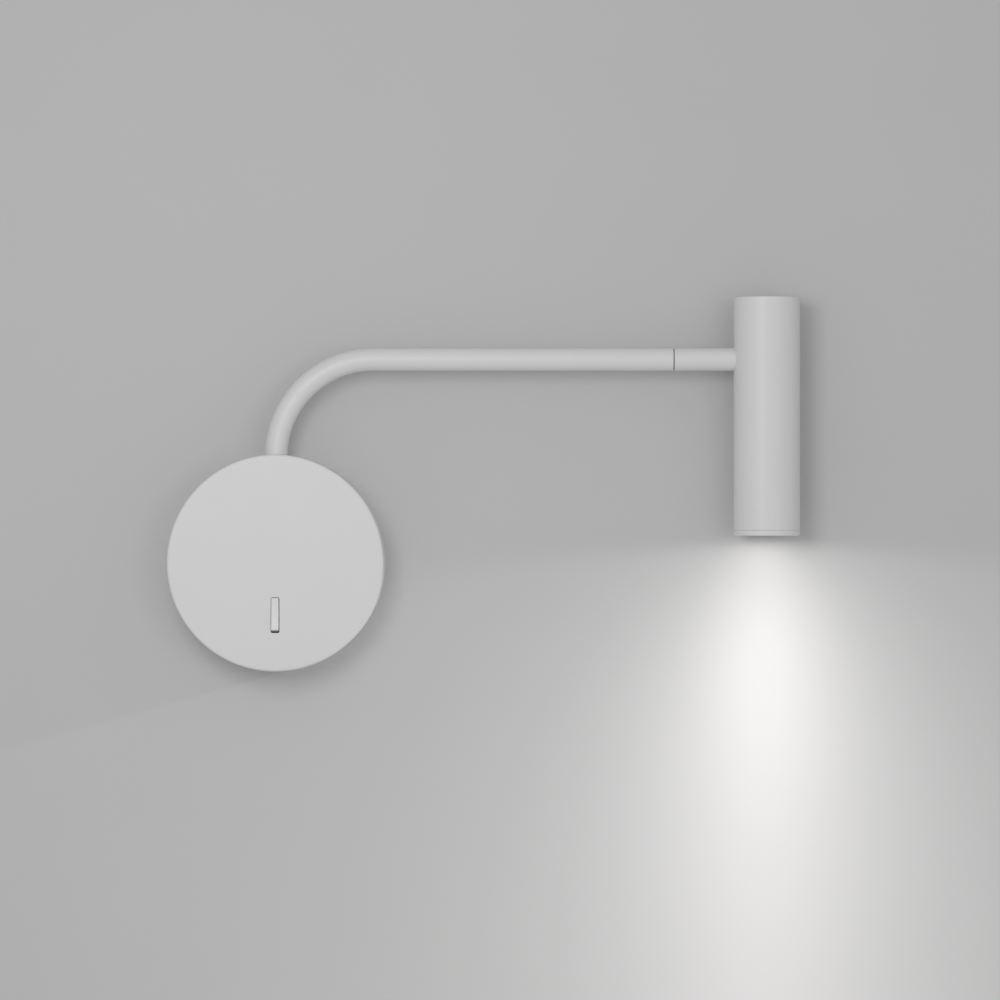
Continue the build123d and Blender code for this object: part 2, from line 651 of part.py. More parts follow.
switch_screws = pan_screw(
    at_depth(SWITCH_EAR_DEPTH), SWITCH_SCREWS, M3_RADIUS - SEATED, M3_HEAD_RADIUS, M3_HEAD, SWITCH_SCREW
)

with BuildPart() as switch_terminals:
    with BuildSketch(at_depth(BLADE_END_DEPTH)):
        with Locations((0, SWITCH_Z), (0, SWITCH_Z + CONTACT_OFFSET)):
            Rectangle(BLADE, BLADE_WIDTH)
    extrude(amount=SWITCH_BACK + SWITCH_FLOOR - BLADE_END_DEPTH)
    # the seat of the contact bar, and the contact that its end meets
    with BuildSketch(at_depth(SWITCH_BACK + SWITCH_FLOOR)):
        with Locations((0, SWITCH_Z)):
            Rectangle(SEAT_WIDTH, BLADE_WIDTH)
    extrude(amount=SEAT_HEIGHT)
    with BuildSketch(at_depth(SWITCH_BACK + SWITCH_FLOOR)):
        with Locations((0, SWITCH_Z + CONTACT_OFFSET)):
            Circle(SEAT_WIDTH / 2)
    extrude(amount=CONTACT_HEIGHT)

with BuildPart() as rocker:
    with BuildSketch(tilted_plane(PIVOT_DEPTH, ROCKER_TILT)):
        with BuildLine():
            ThreePointArc(
                (ROCKER_HALF_LENGTH, ROCKER_FRONT),
                (0, ROCKER_FRONT - ROCKER_DISH),
                (-ROCKER_HALF_LENGTH, ROCKER_FRONT),
            )
            Polyline(
                (-ROCKER_HALF_LENGTH, ROCKER_FRONT),
                (-ROCKER_HALF_LENGTH, ROCKER_SKIRT),
                (-NECK_WIDE, 0),
                (-NECK_NARROW, -NECK_END),
                (NECK_NARROW, -NECK_END),
                (NECK_WIDE, 0),
                (ROCKER_HALF_LENGTH, ROCKER_SKIRT),
                (ROCKER_HALF_LENGTH, ROCKER_FRONT),
            )
        make_face()
    extrude(amount=ROCKER_WIDTH / 2, both=True)
    fillet(rocker.faces().sort_by(Axis.Y)[0].edges(), radius=ROCKER_EDGE)
    with BuildSketch(tilted_plane(PIVOT_DEPTH, ROCKER_TILT)):
        Circle(PIVOT_RADIUS)
    extrude(amount=TRUNNION, both=True)
    plunger_way = Plane(
        origin=(0, -PIVOT_DEPTH, SWITCH_Z), x_dir=(1, 0, 0), z_dir=-tilted_plane(0, ROCKER_TILT).y_dir
    )
    with BuildSketch(plunger_way.offset(PLUNGER_START)):
        Circle(PLUNGER_RADIUS + SEATED)
    extrude(amount=NECK_END, mode=Mode.SUBTRACT)

with BuildPart() as plunger:
    with BuildSketch(plunger_way.offset(PLUNGER_START)):
        Circle(PLUNGER_RADIUS)
    extrude(amount=PLUNGER_TIP - PLUNGER_START)
    fillet(plunger.faces().sort_by(Axis.Y)[-1].edges(), radius=PLUNGER_RADIUS * 0.8)

with BuildPart() as contact_bar:
    with BuildSketch(tilted_plane(BAR_DEPTH, -BAR_TILT)):
        Rectangle(2 * BAR_HALF_LENGTH, BAR_THICKNESS)
        with Locations((0, -BAR_THICKNESS / 2)):
            Circle(BAR_HUB)
    extrude(amount=BAR_WIDTH / 2, both=True)

# ---------------------------------------------------------------- arm

SPINDLE_BOTTOM = 13.0
SPINDLE_TOP = TUBE_FOOT + 14
FRICTION_WASHER = 1.0
STOP_WASHER = 1.5
ARM_SPRING = 0.7
ARM_SPRING_RISE = 1.2
NUT_HEIGHT = 5.0
NUT_INRADIUS = 7.5
NUT_EDGE = 0.5
STOP_WASHER_FOOT = BLOCK_BOTTOM - FRICTION_WASHER - STOP_WASHER
NUT_TOP = STOP_WASHER_FOOT - ARM_SPRING - ARM_SPRING_RISE
SEAM_EDGE = 0.25

with BuildPart() as arm_tube:
    with BuildLine(at_depth(ARM_DEPTH)) as arm_line:
        foot = Line((0, TUBE_FOOT), (0, BEND_START))
        bend = JernArc(foot @ 1, foot % 1, BEND_RADIUS, -90)
        Line(bend @ 1, (TUBE_END, RUN_HEIGHT))
    with BuildSketch(arm_level(TUBE_FOOT)):
        Circle(TUBE_RADIUS)
        Circle(TUBE_BORE, mode=Mode.SUBTRACT)
    sweep(path=arm_line.wire())
    chamfer(arm_tube.faces().sort_by(Axis.X)[-1].outer_wire().edges(), length=SEAM_EDGE)

with BuildPart() as arm_spindle:
    with BuildSketch(arm_level(TUBE_FOOT)):
        Circle(TUBE_BORE - SEATED)
    extrude(amount=SPINDLE_TOP - TUBE_FOOT)
    with BuildSketch(arm_level(BLOCK_BOTTOM)):
        Circle(SPINDLE_RADIUS)
    extrude(amount=TUBE_FOOT - BLOCK_BOTTOM)
    with BuildSketch(arm_level(SPINDLE_BOTTOM)):
        add(flatted_disc(SPINDLE_RADIUS, SPINDLE_FLAT))
    extrude(amount=BLOCK_BOTTOM - SPINDLE_BOTTOM)
    with BuildSketch(arm_level(SPINDLE_BOTTOM)):
        Circle(SPINDLE_BORE)
    extrude(amount=THROUGH, mode=Mode.SUBTRACT)

friction_washer = sleeve(
    arm_level(BLOCK_BOTTOM - FRICTION_WASHER), WASHER_RADIUS, SPINDLE_RADIUS + RUNNING, FRICTION_WASHER
)

with BuildPart() as stop_washer:
    with BuildSketch(arm_level(STOP_WASHER_FOOT)):
        Circle(WASHER_RADIUS)
        with Locations((-TAB_RADIUS / 2, 0)):
            Rectangle(TAB_RADIUS, TAB_WIDTH)
        add(flatted_disc(SPINDLE_RADIUS + RUNNING, SPINDLE_FLAT + RUNNING), mode=Mode.SUBTRACT)
    extrude(amount=STOP_WASHER)

arm_spring = spring_washer(
    arm_level(NUT_TOP), WASHER_RADIUS - 0.2, SPINDLE_RADIUS + 0.2, ARM_SPRING, ARM_SPRING_RISE
)

with BuildPart() as arm_nut:
    with BuildSketch(arm_level(NUT_TOP - NUT_HEIGHT)):
        RegularPolygon(NUT_INRADIUS, 6, major_radius=False)
        Circle(SPINDLE_RADIUS + SEATED, mode=Mode.SUBTRACT)
    extrude(amount=NUT_HEIGHT)
    chamfer(arm_nut.faces().sort_by(Axis.Z)[0].outer_wire().edges(), length=NUT_EDGE)

JOINT_RADIUS = 4.0
JOINT_BORE = 2.4
BUSH_START = 200.0
STOP_PIN_RADIUS = 0.6
STOP_PIN_X = TUBE_END - 1.0
RECESS = 2.0
RECESS_RADIUS = 4.75
STOP_HALF_ANGLE = 6.0
STOP_PIN_START = JOINT_BORE + 0.3
PIN_GAP = 0.01
SEAM_WASHER_RADIUS = TUBE_RADIUS - 0.6

with BuildPart() as arm_end_bush:
    with BuildSketch(run_station(BUSH_START)):
        Circle(TUBE_BORE - SEATED)
        Circle(JOINT_RADIUS + RUNNING, mode=Mode.SUBTRACT)
    extrude(amount=TUBE_END - BUSH_START)
    # the stop pin's way round, closed by a small stop at the bottom
    with BuildSketch(run_station(TUBE_END)):
        add(ring_sector(JOINT_RADIUS - 1, RECESS_RADIUS, 270 + STOP_HALF_ANGLE, 360 - 2 * STOP_HALF_ANGLE))
    extrude(amount=-RECESS, mode=Mode.SUBTRACT)

seam_washer = sleeve(
    run_station(TUBE_END + SEATED), SEAM_WASHER_RADIUS, JOINT_RADIUS + RUNNING, SEAM_GAP - 2 * SEATED
)

# ---------------------------------------------------------------- head joint and stub

SPINDLE_START = 195.0
STUB_BORE = 5.0
PLUG_END = 236.0
RING_START = 196.2
RING = 0.9
RING_BORE = 3.5
RING_RADIUS = 4.9
RING_GAP = 2.4
JOINT_SPRING = 0.5
JOINT_SPRING_RISE = 1.5
JOINT_WASHER = 0.8

with BuildPart() as head_spindle:
    with BuildSketch(run_station(SPINDLE_START)):
        Circle(JOINT_RADIUS)
    extrude(amount=STUB_START - SPINDLE_START)
    with BuildSketch(run_station(STUB_START)):
        Circle(STUB_BORE - SEATED)
    extrude(amount=PLUG_END - STUB_START)
    with BuildSketch(run_station(SPINDLE_START)):
        Circle(JOINT_BORE)
    extrude(amount=THROUGH, mode=Mode.SUBTRACT)
    with BuildSketch(run_station(RING_START)):
        Circle(JOINT_RADIUS)
        Circle(RING_BORE, mode=Mode.SUBTRACT)
    extrude(amount=RING, mode=Mode.SUBTRACT)
    with BuildSketch(Plane((STOP_PIN_X, -ARM_DEPTH, RUN_HEIGHT))):
        Circle(STOP_PIN_RADIUS + PIN_GAP)
    extrude(amount=JOINT_RADIUS + 1, mode=Mode.SUBTRACT)

with BuildPart() as stop_pin:
    with BuildSketch(Plane((STOP_PIN_X, -ARM_DEPTH, RUN_HEIGHT + STOP_PIN_START))):
        Circle(STOP_PIN_RADIUS)
    extrude(amount=RECESS_RADIUS - 2 * RUNNING - STOP_PIN_START)

with BuildPart() as retaining_ring:
    with BuildSketch(run_station(RING_START + RUNNING)):
        Circle(RING_RADIUS)
        Circle(RING_BORE + RUNNING, mode=Mode.SUBTRACT)
        with Locations((RING_RADIUS / 2 + 1, 0)):
            Rectangle(RING_RADIUS + 2, RING_GAP, mode=Mode.SUBTRACT)
    extrude(amount=RING - 2 * RUNNING)

joint_spring = spring_washer(
    run_station(RING_START + RING), RING_RADIUS, JOINT_RADIUS + 2 * RUNNING, JOINT_SPRING, JOINT_SPRING_RISE
)
joint_washer = sleeve(
    run_station(BUSH_START - RUNNING - JOINT_WASHER), RING_RADIUS, JOINT_RADIUS + RUNNING, JOINT_WASHER
)

with BuildPart() as head_stub:
    with BuildSketch(run_station(STUB_START)):
        Circle(TUBE_RADIUS)
        Circle(STUB_BORE, mode=Mode.SUBTRACT)
    extrude(amount=HEAD_X - HEAD_RADIUS + TUBE_RADIUS - STUB_START)
    # the far end is coped to the round of the head
    with BuildSketch(head_level(RUN_HEIGHT - TUBE_DIAMETER)):
        Circle(HEAD_RADIUS + SEATED)
    extrude(amount=2 * TUBE_DIAMETER, mode=Mode.SUBTRACT)
    chamfer(head_stub.faces().sort_by(Axis.X)[0].outer_wire().edges(), length=SEAM_EDGE)

BODY_TOP_WALL = 2.0
BODY_BORE = 15.9
STACK_BORE = 16.9
SHOULDER = 64.0
NIPPLE_START = 243.0
NIPPLE_END = 266.0
SADDLE_FLAT = 260.0
STUB_NUT = 4.0
STUB_NUT_INRADIUS = 7.0

stub_nipple = sleeve(run_station(NIPPLE_START), STUB_BORE - SEATED, SPINDLE_BORE, NIPPLE_END - NIPPLE_START)

with BuildPart() as saddle_washer:
    with BuildSketch(run_station(SADDLE_FLAT)):
        Circle(STUB_NUT_INRADIUS)
        Circle(STUB_BORE + SEATED, mode=Mode.SUBTRACT)
    extrude(amount=-STUB_NUT)
    with BuildSketch(head_level(RUN_HEIGHT - TUBE_DIAMETER)):
        Circle(BODY_BORE - SEATED)
    extrude(amount=2 * TUBE_DIAMETER, mode=Mode.INTERSECT)

with BuildPart() as stub_nut:
    with BuildSketch(run_station(SADDLE_FLAT)):
        RegularPolygon(STUB_NUT_INRADIUS, 6, major_radius=False)
        Circle(STUB_BORE + SEATED, mode=Mode.SUBTRACT)
    extrude(amount=STUB_NUT)
    chamfer(stub_nut.faces().sort_by(Axis.X)[-1].outer_wire().edges(), length=NUT_EDGE)

# ---------------------------------------------------------------- head

BODY_BOTTOM = HEAD_BOTTOM + TRIM_HEIGHT
SPIGOT_TOP = 23.1
SPIGOT_BORE = 15.3
APERTURE = 14.5
GLASS_SEAT = 17.0
GLASS = 2.0
GLASS_RADIUS = 15.2
GASKET_TOP = 20.5
LENS_FLANGE_TOP = 21.5
LENS_RADIUS = 14.6
LENS_BACK = 35.0
LENS_HOLLOW = 31.0  # the well over the chip
LED_BOARD_BOTTOM = 37.0
LED_BOARD = 1.6
PAD_TOP = 39.1
SINK_DISC_TOP = 45.0
SINK_RADIUS = 16.8
FINS = 10
FIN = 1.2
CORE_RADIUS = 4.5
CABLE_DROP = 13.4  # how far the cable comes down beside the head's axis
BOARD_SCREWS = [(0, 13.3), (0, -13.3)]
BOARD_SCREW_RADIUS = 1.2
BOARD_SCREW_HEAD_RADIUS = 2.2
BOARD_SCREW_HEAD = 1.5
BOARD_SCREW = 6.0
TOP_EDGE = 0.6
TRIM_EDGE = 0.4
SEAM_CHAMFER = 0.2
CHIP_SIDE = 7.0
CHIP_BASE = 0.7
CHIP_RADIUS = 2.8
CHIP_DOME = 0.5
PAD_RADIUS = 10.5
GASKET_BORE = 14.0

with BuildPart() as head_body:
    with BuildSketch(head_level(BODY_BOTTOM)):
        Circle(HEAD_RADIUS)
    extrude(amount=HEAD_TOP - BODY_BOTTOM)
    fillet(head_body.faces().sort_by(Axis.Z)[-1].edges(), radius=TOP_EDGE)
    chamfer(head_body.faces().sort_by(Axis.Z)[0].edges(), length=SEAM_CHAMFER)
    with BuildSketch(head_level(BODY_BOTTOM)):
        Circle(BODY_BORE)
    extrude(amount=HEAD_TOP - BODY_TOP_WALL - BODY_BOTTOM, mode=Mode.SUBTRACT)
    with BuildSketch(head_level(BODY_BOTTOM)):
        Circle(STACK_BORE)
    extrude(amount=SHOULDER - BODY_BOTTOM, mode=Mode.SUBTRACT)
    with BuildSketch(run_station(HEAD_X)):
        Circle(STUB_BORE + SEATED)
    extrude(amount=-THROUGH, mode=Mode.SUBTRACT)

with BuildPart() as trim_ring:
    with BuildSketch(Plane((HEAD_X, -ARM_DEPTH, 0), x_dir=(1, 0, 0), z_dir=(0, -1, 0))):
        with BuildLine():
            Polyline(
                (APERTURE, GLASS_SEAT),
                (APERTURE + GLASS_SEAT - HEAD_BOTTOM, HEAD_BOTTOM),
                (HEAD_RADIUS - TRIM_EDGE, HEAD_BOTTOM),
                (HEAD_RADIUS, HEAD_BOTTOM + TRIM_EDGE),
                (HEAD_RADIUS, BODY_BOTTOM - SEAM_CHAMFER),
                (HEAD_RADIUS - SEAM_CHAMFER, BODY_BOTTOM),
                (STACK_BORE - RUNNING, BODY_BOTTOM),
                (STACK_BORE - RUNNING, SPIGOT_TOP),
                (SPIGOT_BORE, SPIGOT_TOP),
                (SPIGOT_BORE, GLASS_SEAT),
                close=True,
            )
        make_face()
    revolve(axis=Axis((HEAD_X, -ARM_DEPTH, 0), (0, 0, 1)))

with BuildPart() as front_glass:
    with BuildSketch(head_level(GLASS_SEAT)):
        Circle(GLASS_RADIUS)
    extrude(amount=GLASS)

glass_gasket = sleeve(
    head_level(GLASS_SEAT + GLASS), GLASS_RADIUS, GASKET_BORE, GASKET_TOP - GLASS_SEAT - GLASS
)

with BuildPart() as lens_holder:
    with BuildSketch(Plane((HEAD_X, -ARM_DEPTH, 0), x_dir=(1, 0, 0), z_dir=(0, -1, 0))):
        with BuildLine():
            Polyline(
                (GLASS_RADIUS, GASKET_TOP),
                (GLASS_RADIUS, 24),
                (10, 36),
                (10, LED_BOARD_BOTTOM),
                (5.2, LED_BOARD_BOTTOM),
                (5.2, 35.4),
                (LENS_RADIUS - 1.1, 22.4),
                (LENS_RADIUS - 1.1, LENS_FLANGE_TOP + RUNNING),
                (LENS_RADIUS + 0.1, LENS_FLANGE_TOP + RUNNING),
                (LENS_RADIUS + 0.1, GASKET_TOP),
                close=True,
            )
        make_face()
    revolve(axis=Axis((HEAD_X, -ARM_DEPTH, 0), (0, 0, 1)))

with BuildPart() as lens:
    with BuildSketch(Plane((HEAD_X, -ARM_DEPTH, 0), x_dir=(1, 0, 0), z_dir=(0, -1, 0))):
        with BuildLine():
            side = Polyline(
                (0, LENS_HOLLOW),
                (0, GASKET_TOP),
                (LENS_RADIUS, GASKET_TOP),
                (LENS_RADIUS, LENS_FLANGE_TOP),
                (LENS_RADIUS - 1.4, LENS_FLANGE_TOP),
            )
            flank = ThreePointArc(side @ 1, (9.1, 28.6), (4.6, LENS_BACK))
            Polyline(flank @ 1, (3, LENS_BACK), (3, LENS_HOLLOW), (0, LENS_HOLLOW))
        make_face()
    revolve(axis=Axis((HEAD_X, -ARM_DEPTH, 0), (0, 0, 1)))

with BuildPart() as led_chip:
    with BuildSketch(head_level(LED_BOARD_BOTTOM - CHIP_BASE)):
        Rectangle(CHIP_SIDE, CHIP_SIDE)
    extrude(amount=CHIP_BASE)
    with BuildSketch(head_level(LED_BOARD_BOTTOM - CHIP_BASE)):
        Circle(CHIP_RADIUS)
    extrude(amount=-CHIP_DOME)

with BuildPart() as led_board:
    with BuildSketch(head_level(LED_BOARD_BOTTOM)):
        Circle(STACK_BORE - 0.3)
        with Locations(*BOARD_SCREWS):
            Circle(BOARD_SCREW_RADIUS + SCREW_HOLE, mode=Mode.SUBTRACT)
    extrude(amount=LED_BOARD)

board_screws = pan_screw(
    head_level(LED_BOARD_BOTTOM),
    BOARD_SCREWS,
    BOARD_SCREW_RADIUS,
    BOARD_SCREW_HEAD_RADIUS,
    BOARD_SCREW_HEAD,
    BOARD_SCREW,
)

with BuildPart() as thermal_pad:
    with BuildSketch(head_level(LED_BOARD_BOTTOM + LED_BOARD)):
        Circle(PAD_RADIUS)
    extrude(amount=PAD_TOP - LED_BOARD_BOTTOM - LED_BOARD)

with BuildPart() as heat_sink:
    with BuildSketch(head_level(PAD_TOP)):
        Circle(SINK_RADIUS)
    extrude(amount=SINK_DISC_TOP - PAD_TOP)
    with BuildSketch(head_level(SINK_DISC_TOP)):
        Circle(CORE_RADIUS)
        with PolarLocations((CORE_RADIUS - 1 + SINK_RADIUS) / 2, FINS, start_angle=180 / FINS):
            Rectangle(SINK_RADIUS - CORE_RADIUS + 1, FIN)
        Circle(SINK_RADIUS, mode=Mode.INTERSECT)
    extrude(amount=SHOULDER - SINK_DISC_TOP)
    with BuildSketch(head_level(PAD_TOP)):
        with Locations((CABLE_DROP + 2, 0)):
            SlotOverall(2 * CABLE, CABLE + 2 * ARM_HOLE_GAP)
    extrude(amount=SINK_DISC_TOP - PAD_TOP, mode=Mode.SUBTRACT)
    with BuildSketch(head_level(PAD_TOP)):
        with Locations(*BOARD_SCREWS):
            Circle(BOARD_SCREW_RADIUS + SEATED)
    extrude(amount=BOARD_SCREW - 1, mode=Mode.SUBTRACT)

# ---------------------------------------------------------------- wires and cables

live_wire = wire(
    WIRE,
    [
        (TERMINAL_X - 7, -ENTRY_DEPTH, POLES[2]),
        (15, -ENTRY_DEPTH, POLES[2]),
        (9, -13, SWITCH_Z + 6),
        (6, -13, SWITCH_Z),
        (BLADE / 2, -13, SWITCH_Z),
    ],
)
switched_wire = wire(
    WIRE,
    [
        (-BLADE / 2, -13, SWITCH_Z + CONTACT_OFFSET),
        (-9, -13, SWITCH_Z + CONTACT_OFFSET),
        (-18, -INLET_DEPTH, SWITCH_Z - 12),
        (SWITCHED_INLET, -INLET_DEPTH, SWITCH_Z - 12),
        (SWITCHED_INLET, -INLET_DEPTH, -DRIVER_HALF_HEIGHT + DRIVER_WALL),
    ],
)
neutral_wire = wire(
    WIRE,
    [
        (TERMINAL_X - 7, -ENTRY_DEPTH, POLES[0]),
        (8, -ENTRY_DEPTH, POLES[0]),
        (-8, -6, POLES[0] - 3),
        (-15, -5, -10),
        (-15, -5, -32),
        (-22, -6, -46),
        (NEUTRAL_INLET, -INLET_DEPTH, -42),
        (NEUTRAL_INLET, -INLET_DEPTH, -DRIVER_HALF_HEIGHT + DRIVER_WALL),
    ],
)
earth_wire = wire(
    WIRE,
    [
        (TERMINAL_X - 7, -ENTRY_DEPTH, POLES[1]),
        (18, -ENTRY_DEPTH, POLES[1]),
        (14.5, -5, -6),
        (14, -3, -16),
        (EARTH_PLACE[0], -BRACKET_PLATE - BARREL_RADIUS, EARTH_PLACE[1] + BARREL_START + 1),
    ],
)
output_cable = wire(
    CABLE,
    [
        (DRIVER_MIDDLE, -OUTLET_DEPTH, DRIVER_HALF_HEIGHT - DRIVER_WALL),
        (DRIVER_MIDDLE, -OUTLET_DEPTH, 36),
        (-22, -8, 38),
        (-14, -8, 26),
        (-13, -12, 8),
        (-11, -14, -6),
        (0, -ARM_DEPTH, -6),
        (0, -ARM_DEPTH, SPINDLE_BOTTOM),
    ],
)

with BuildPart() as arm_cable:
    with BuildLine(at_depth(ARM_DEPTH)) as cable_line:
        riser = Line((0, SPINDLE_BOTTOM), (0, BEND_START))
        curve = JernArc(riser @ 1, riser % 1, BEND_RADIUS, -90)
        Line(curve @ 1, (SPINDLE_START, RUN_HEIGHT))
    with BuildSketch(arm_level(SPINDLE_BOTTOM)):
        Circle(CABLE / 2)
    sweep(path=cable_line.wire())

CABLE_TURN = 20.0

with BuildPart() as head_cable:
    with BuildLine(at_depth(ARM_DEPTH)) as drop_line:
        level = Line((SPINDLE_START, RUN_HEIGHT), (HEAD_X + CABLE_DROP - CABLE_TURN, RUN_HEIGHT))
        turn_down = JernArc(level @ 1, level % 1, CABLE_TURN, -90)
        Line(turn_down @ 1, (HEAD_X + CABLE_DROP, LED_BOARD_BOTTOM + LED_BOARD))
    with BuildSketch(run_station(SPINDLE_START)):
        Circle(CABLE / 2)
    sweep(path=drop_line.wire())

# ---------------------------------------------------------------- the pieces

pieces = {
    "wall_bracket": wall_bracket,
    "cable_grommet": cable_grommet,
    "base_cover": base_cover,
    "cover_screws": cover_screws,
    "swivel_block": swivel_block,
    "block_screws": block_screws,
    "upper_bush": upper_bush,
    "lower_bush": lower_bush,
    "thrust_washer": thrust_washer,
    "driver_case": driver_case,
    "driver_lid": driver_lid,
    "driver_board": driver_board,
    "driver_screws": driver_screws,
    "terminal_block": terminal_block,
    "terminal_screws": terminal_screws,
    "earth_tag": earth_tag,
    "earth_screw": earth_screw,
    "switch_body": switch_body,
    "switch_screws": switch_screws,
    "switch_terminals": switch_terminals,
    "rocker": rocker,
    "plunger": plunger,
    "contact_bar": contact_bar,
    "live_wire": live_wire,
    "switched_wire": switched_wire,
    "neutral_wire": neutral_wire,
    "earth_wire": earth_wire,
    "output_cable": output_cable,
    "arm_tube": arm_tube,
    "arm_spindle": arm_spindle,
    "friction_washer": friction_washer,
    "stop_washer": stop_washer,
    "arm_spring": arm_spring,
    "arm_nut": arm_nut,
    "arm_end_bush": arm_end_bush,
    "seam_washer": seam_washer,
    "arm_cable": arm_cable,
    "head_spindle": head_spindle,
    "stop_pin": stop_pin,
    "joint_washer": joint_washer,
    "joint_spring": joint_spring,
    "retaining_ring": retaining_ring,
    "head_stub": head_stub,
    "stub_nipple": stub_nipple,
    "saddle_washer": saddle_washer,
    "stub_nut": stub_nut,
    "head_body": head_body,
    "heat_sink": heat_sink,
    "thermal_pad": thermal_pad,
    "led_board": led_board,
    "led_chip": led_chip,
    "board_screws": board_screws,
    "lens_holder": lens_holder,
    "lens": lens,
    "glass_gasket": glass_gasket,
    "front_glass": front_glass,
    "trim_ring": trim_ring,
    "head_cable": head_cable,
}

os.makedirs("parts", exist_ok=True)
for name, piece in pieces.items():
    piece.part.label = name
    export_step(piece.part, f"parts/{name}.step")
print(len(pieces), "pieces")
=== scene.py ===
import json
from math import cos, exp, pi, radians, sin, sqrt

import bmesh
import bpy
from mathutils import Matrix, Vector

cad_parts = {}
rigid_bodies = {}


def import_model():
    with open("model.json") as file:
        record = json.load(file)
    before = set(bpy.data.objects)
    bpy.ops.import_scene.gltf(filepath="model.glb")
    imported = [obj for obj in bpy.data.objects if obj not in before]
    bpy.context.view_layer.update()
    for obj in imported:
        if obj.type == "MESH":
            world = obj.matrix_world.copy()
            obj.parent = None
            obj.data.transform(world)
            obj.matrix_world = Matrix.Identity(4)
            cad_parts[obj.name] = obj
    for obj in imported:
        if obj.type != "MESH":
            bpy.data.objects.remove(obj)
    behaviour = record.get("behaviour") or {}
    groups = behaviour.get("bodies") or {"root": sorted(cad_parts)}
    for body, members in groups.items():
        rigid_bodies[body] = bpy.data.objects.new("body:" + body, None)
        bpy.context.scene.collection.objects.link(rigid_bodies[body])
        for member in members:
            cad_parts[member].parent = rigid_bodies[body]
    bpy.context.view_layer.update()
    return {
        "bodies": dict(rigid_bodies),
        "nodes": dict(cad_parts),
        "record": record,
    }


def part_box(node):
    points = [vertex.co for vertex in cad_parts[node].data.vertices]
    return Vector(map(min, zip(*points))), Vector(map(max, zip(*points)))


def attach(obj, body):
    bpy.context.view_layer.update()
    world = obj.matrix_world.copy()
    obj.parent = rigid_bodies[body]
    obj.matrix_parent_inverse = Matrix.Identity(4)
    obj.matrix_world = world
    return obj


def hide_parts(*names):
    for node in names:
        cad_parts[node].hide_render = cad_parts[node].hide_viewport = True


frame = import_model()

# Bedside wall reading lamp. Everything is in metres in the frame's axes: +X along the arm, +Z up, the
# wall at Y = 0 and the room on the side of -Y. Sizes are written in millimetres, times MM.
MM = 0.001

# ------------------------------------------------------------------ sizes, from the frame


def size_of(name):
    """A node's size along each axis."""
    low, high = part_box(name)
    return high - low


tube_low, tube_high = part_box("arm_tube")
body_low, body_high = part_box("head_body")
trim_low, trim_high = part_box("trim_ring")

BASE_RADIUS = size_of("base_cover").x / 2
BASE_DEPTH = size_of("base_cover").y
COVER_WALL = 2 * MM
TUBE_RADIUS = size_of("arm_tube").y / 2
TUBE_WALL = 1.2 * MM
ARM_DEPTH = -(tube_low.y + tube_high.y) / 2
RUN_HEIGHT = tube_high.z - TUBE_RADIUS
BEND_RADIUS = 54 * MM
STUB_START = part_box("head_stub")[0].x
STUB_BORE = 5 * MM
HEAD_RADIUS = size_of("head_body").x / 2
HEAD_X = (body_low.x + body_high.x) / 2
HEAD_TOP = body_high.z
BODY_BOTTOM = body_low.z
HEAD_BOTTOM = trim_low.z
GLASS_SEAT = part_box("front_glass")[0].z
SWITCH_Z = -28.8 * MM
SLOT_WIDTH = 4.7 * MM
SLOT_LENGTH = 19.6 * MM
AROUND = 192  # faces round a large circle
AROUND_TUBE = 96
PAST = 1 * MM  # how far a cutter stands past what it cuts

HEAD_AXIS = Vector((HEAD_X, -ARM_DEPTH, 0))
ARM_AXIS = Vector((0, -ARM_DEPTH, 0))
RUN_AXIS = Vector((0, -ARM_DEPTH, RUN_HEIGHT))

# A shape is drawn with its axis along its own z, and one of these lays that axis in place.
OUT_OF_WALL = Matrix.Rotation(radians(90), 4, "X")  # own x and y are across and up, z is away from the wall
ALONG_RUN = Matrix.Translation(RUN_AXIS) @ Matrix(((0, 0, 1, 0), (1, 0, 0, 0), (0, 1, 0, 0), (0, 0, 0, 1)))
UP_HEAD = Matrix.Translation(HEAD_AXIS)
UP_ARM = Matrix.Translation(ARM_AXIS)

# ------------------------------------------------------------------ making pieces


def arc(centre, radius, start, end, steps):
    """Points on an arc, with angles in degrees."""
    points = []
    for step in range(steps + 1):
        angle = radians(start + (end - start) * step / steps)
        points.append((centre[0] + radius * cos(angle), centre[1] + radius * sin(angle)))
    return points


def skin(rings, closed=False):
    """A mesh through rings of points; a ring of one point is a pole, and an open end is capped."""
    shape = bmesh.new()
    made = [[shape.verts.new(point) for point in ring] for ring in rings]
    pairs = list(zip(made, made[1:]))
    if closed:
        pairs.append((made[-1], made[0]))
    for first, second in pairs:
        count = max(len(first), len(second))
        for at in range(count):
            corners = [
                first[at % len(first)],
                first[(at + 1) % len(first)],
                second[(at + 1) % len(second)],
                second[at % len(second)],
            ]
            corners = list(dict.fromkeys(corners))
            if len(corners) > 2:
                shape.faces.new(corners)
    for end in () if closed else (made[0], made[-1]):
        if len(end) > 1:
            shape.faces.new(end)
    bmesh.ops.recalc_face_normals(shape, faces=shape.faces)
    mesh = bpy.data.meshes.new("skin")
    shape.to_mesh(mesh)
    shape.free()
    return mesh


def lathe(profile, place, steps=AROUND, closed=False, start=0.0):
    """A turned shape from points of radius and height."""
    rings = []
    for radius, height in profile:
        if radius == 0:
            rings.append([place @ Vector((0, 0, height))])
            continue
        ring = []
        for step in range(steps):
            angle = start + 2 * pi * step / steps
            ring.append(place @ Vector((radius * cos(angle), radius * sin(angle), height)))
        rings.append(ring)
    return skin(rings, closed)


def outline_prism(outlines, place):
    """A capped prism through matching outlines, each a height and its points."""
    return skin([[place @ Vector((x, y, height)) for x, y in points] for height, points in outlines])


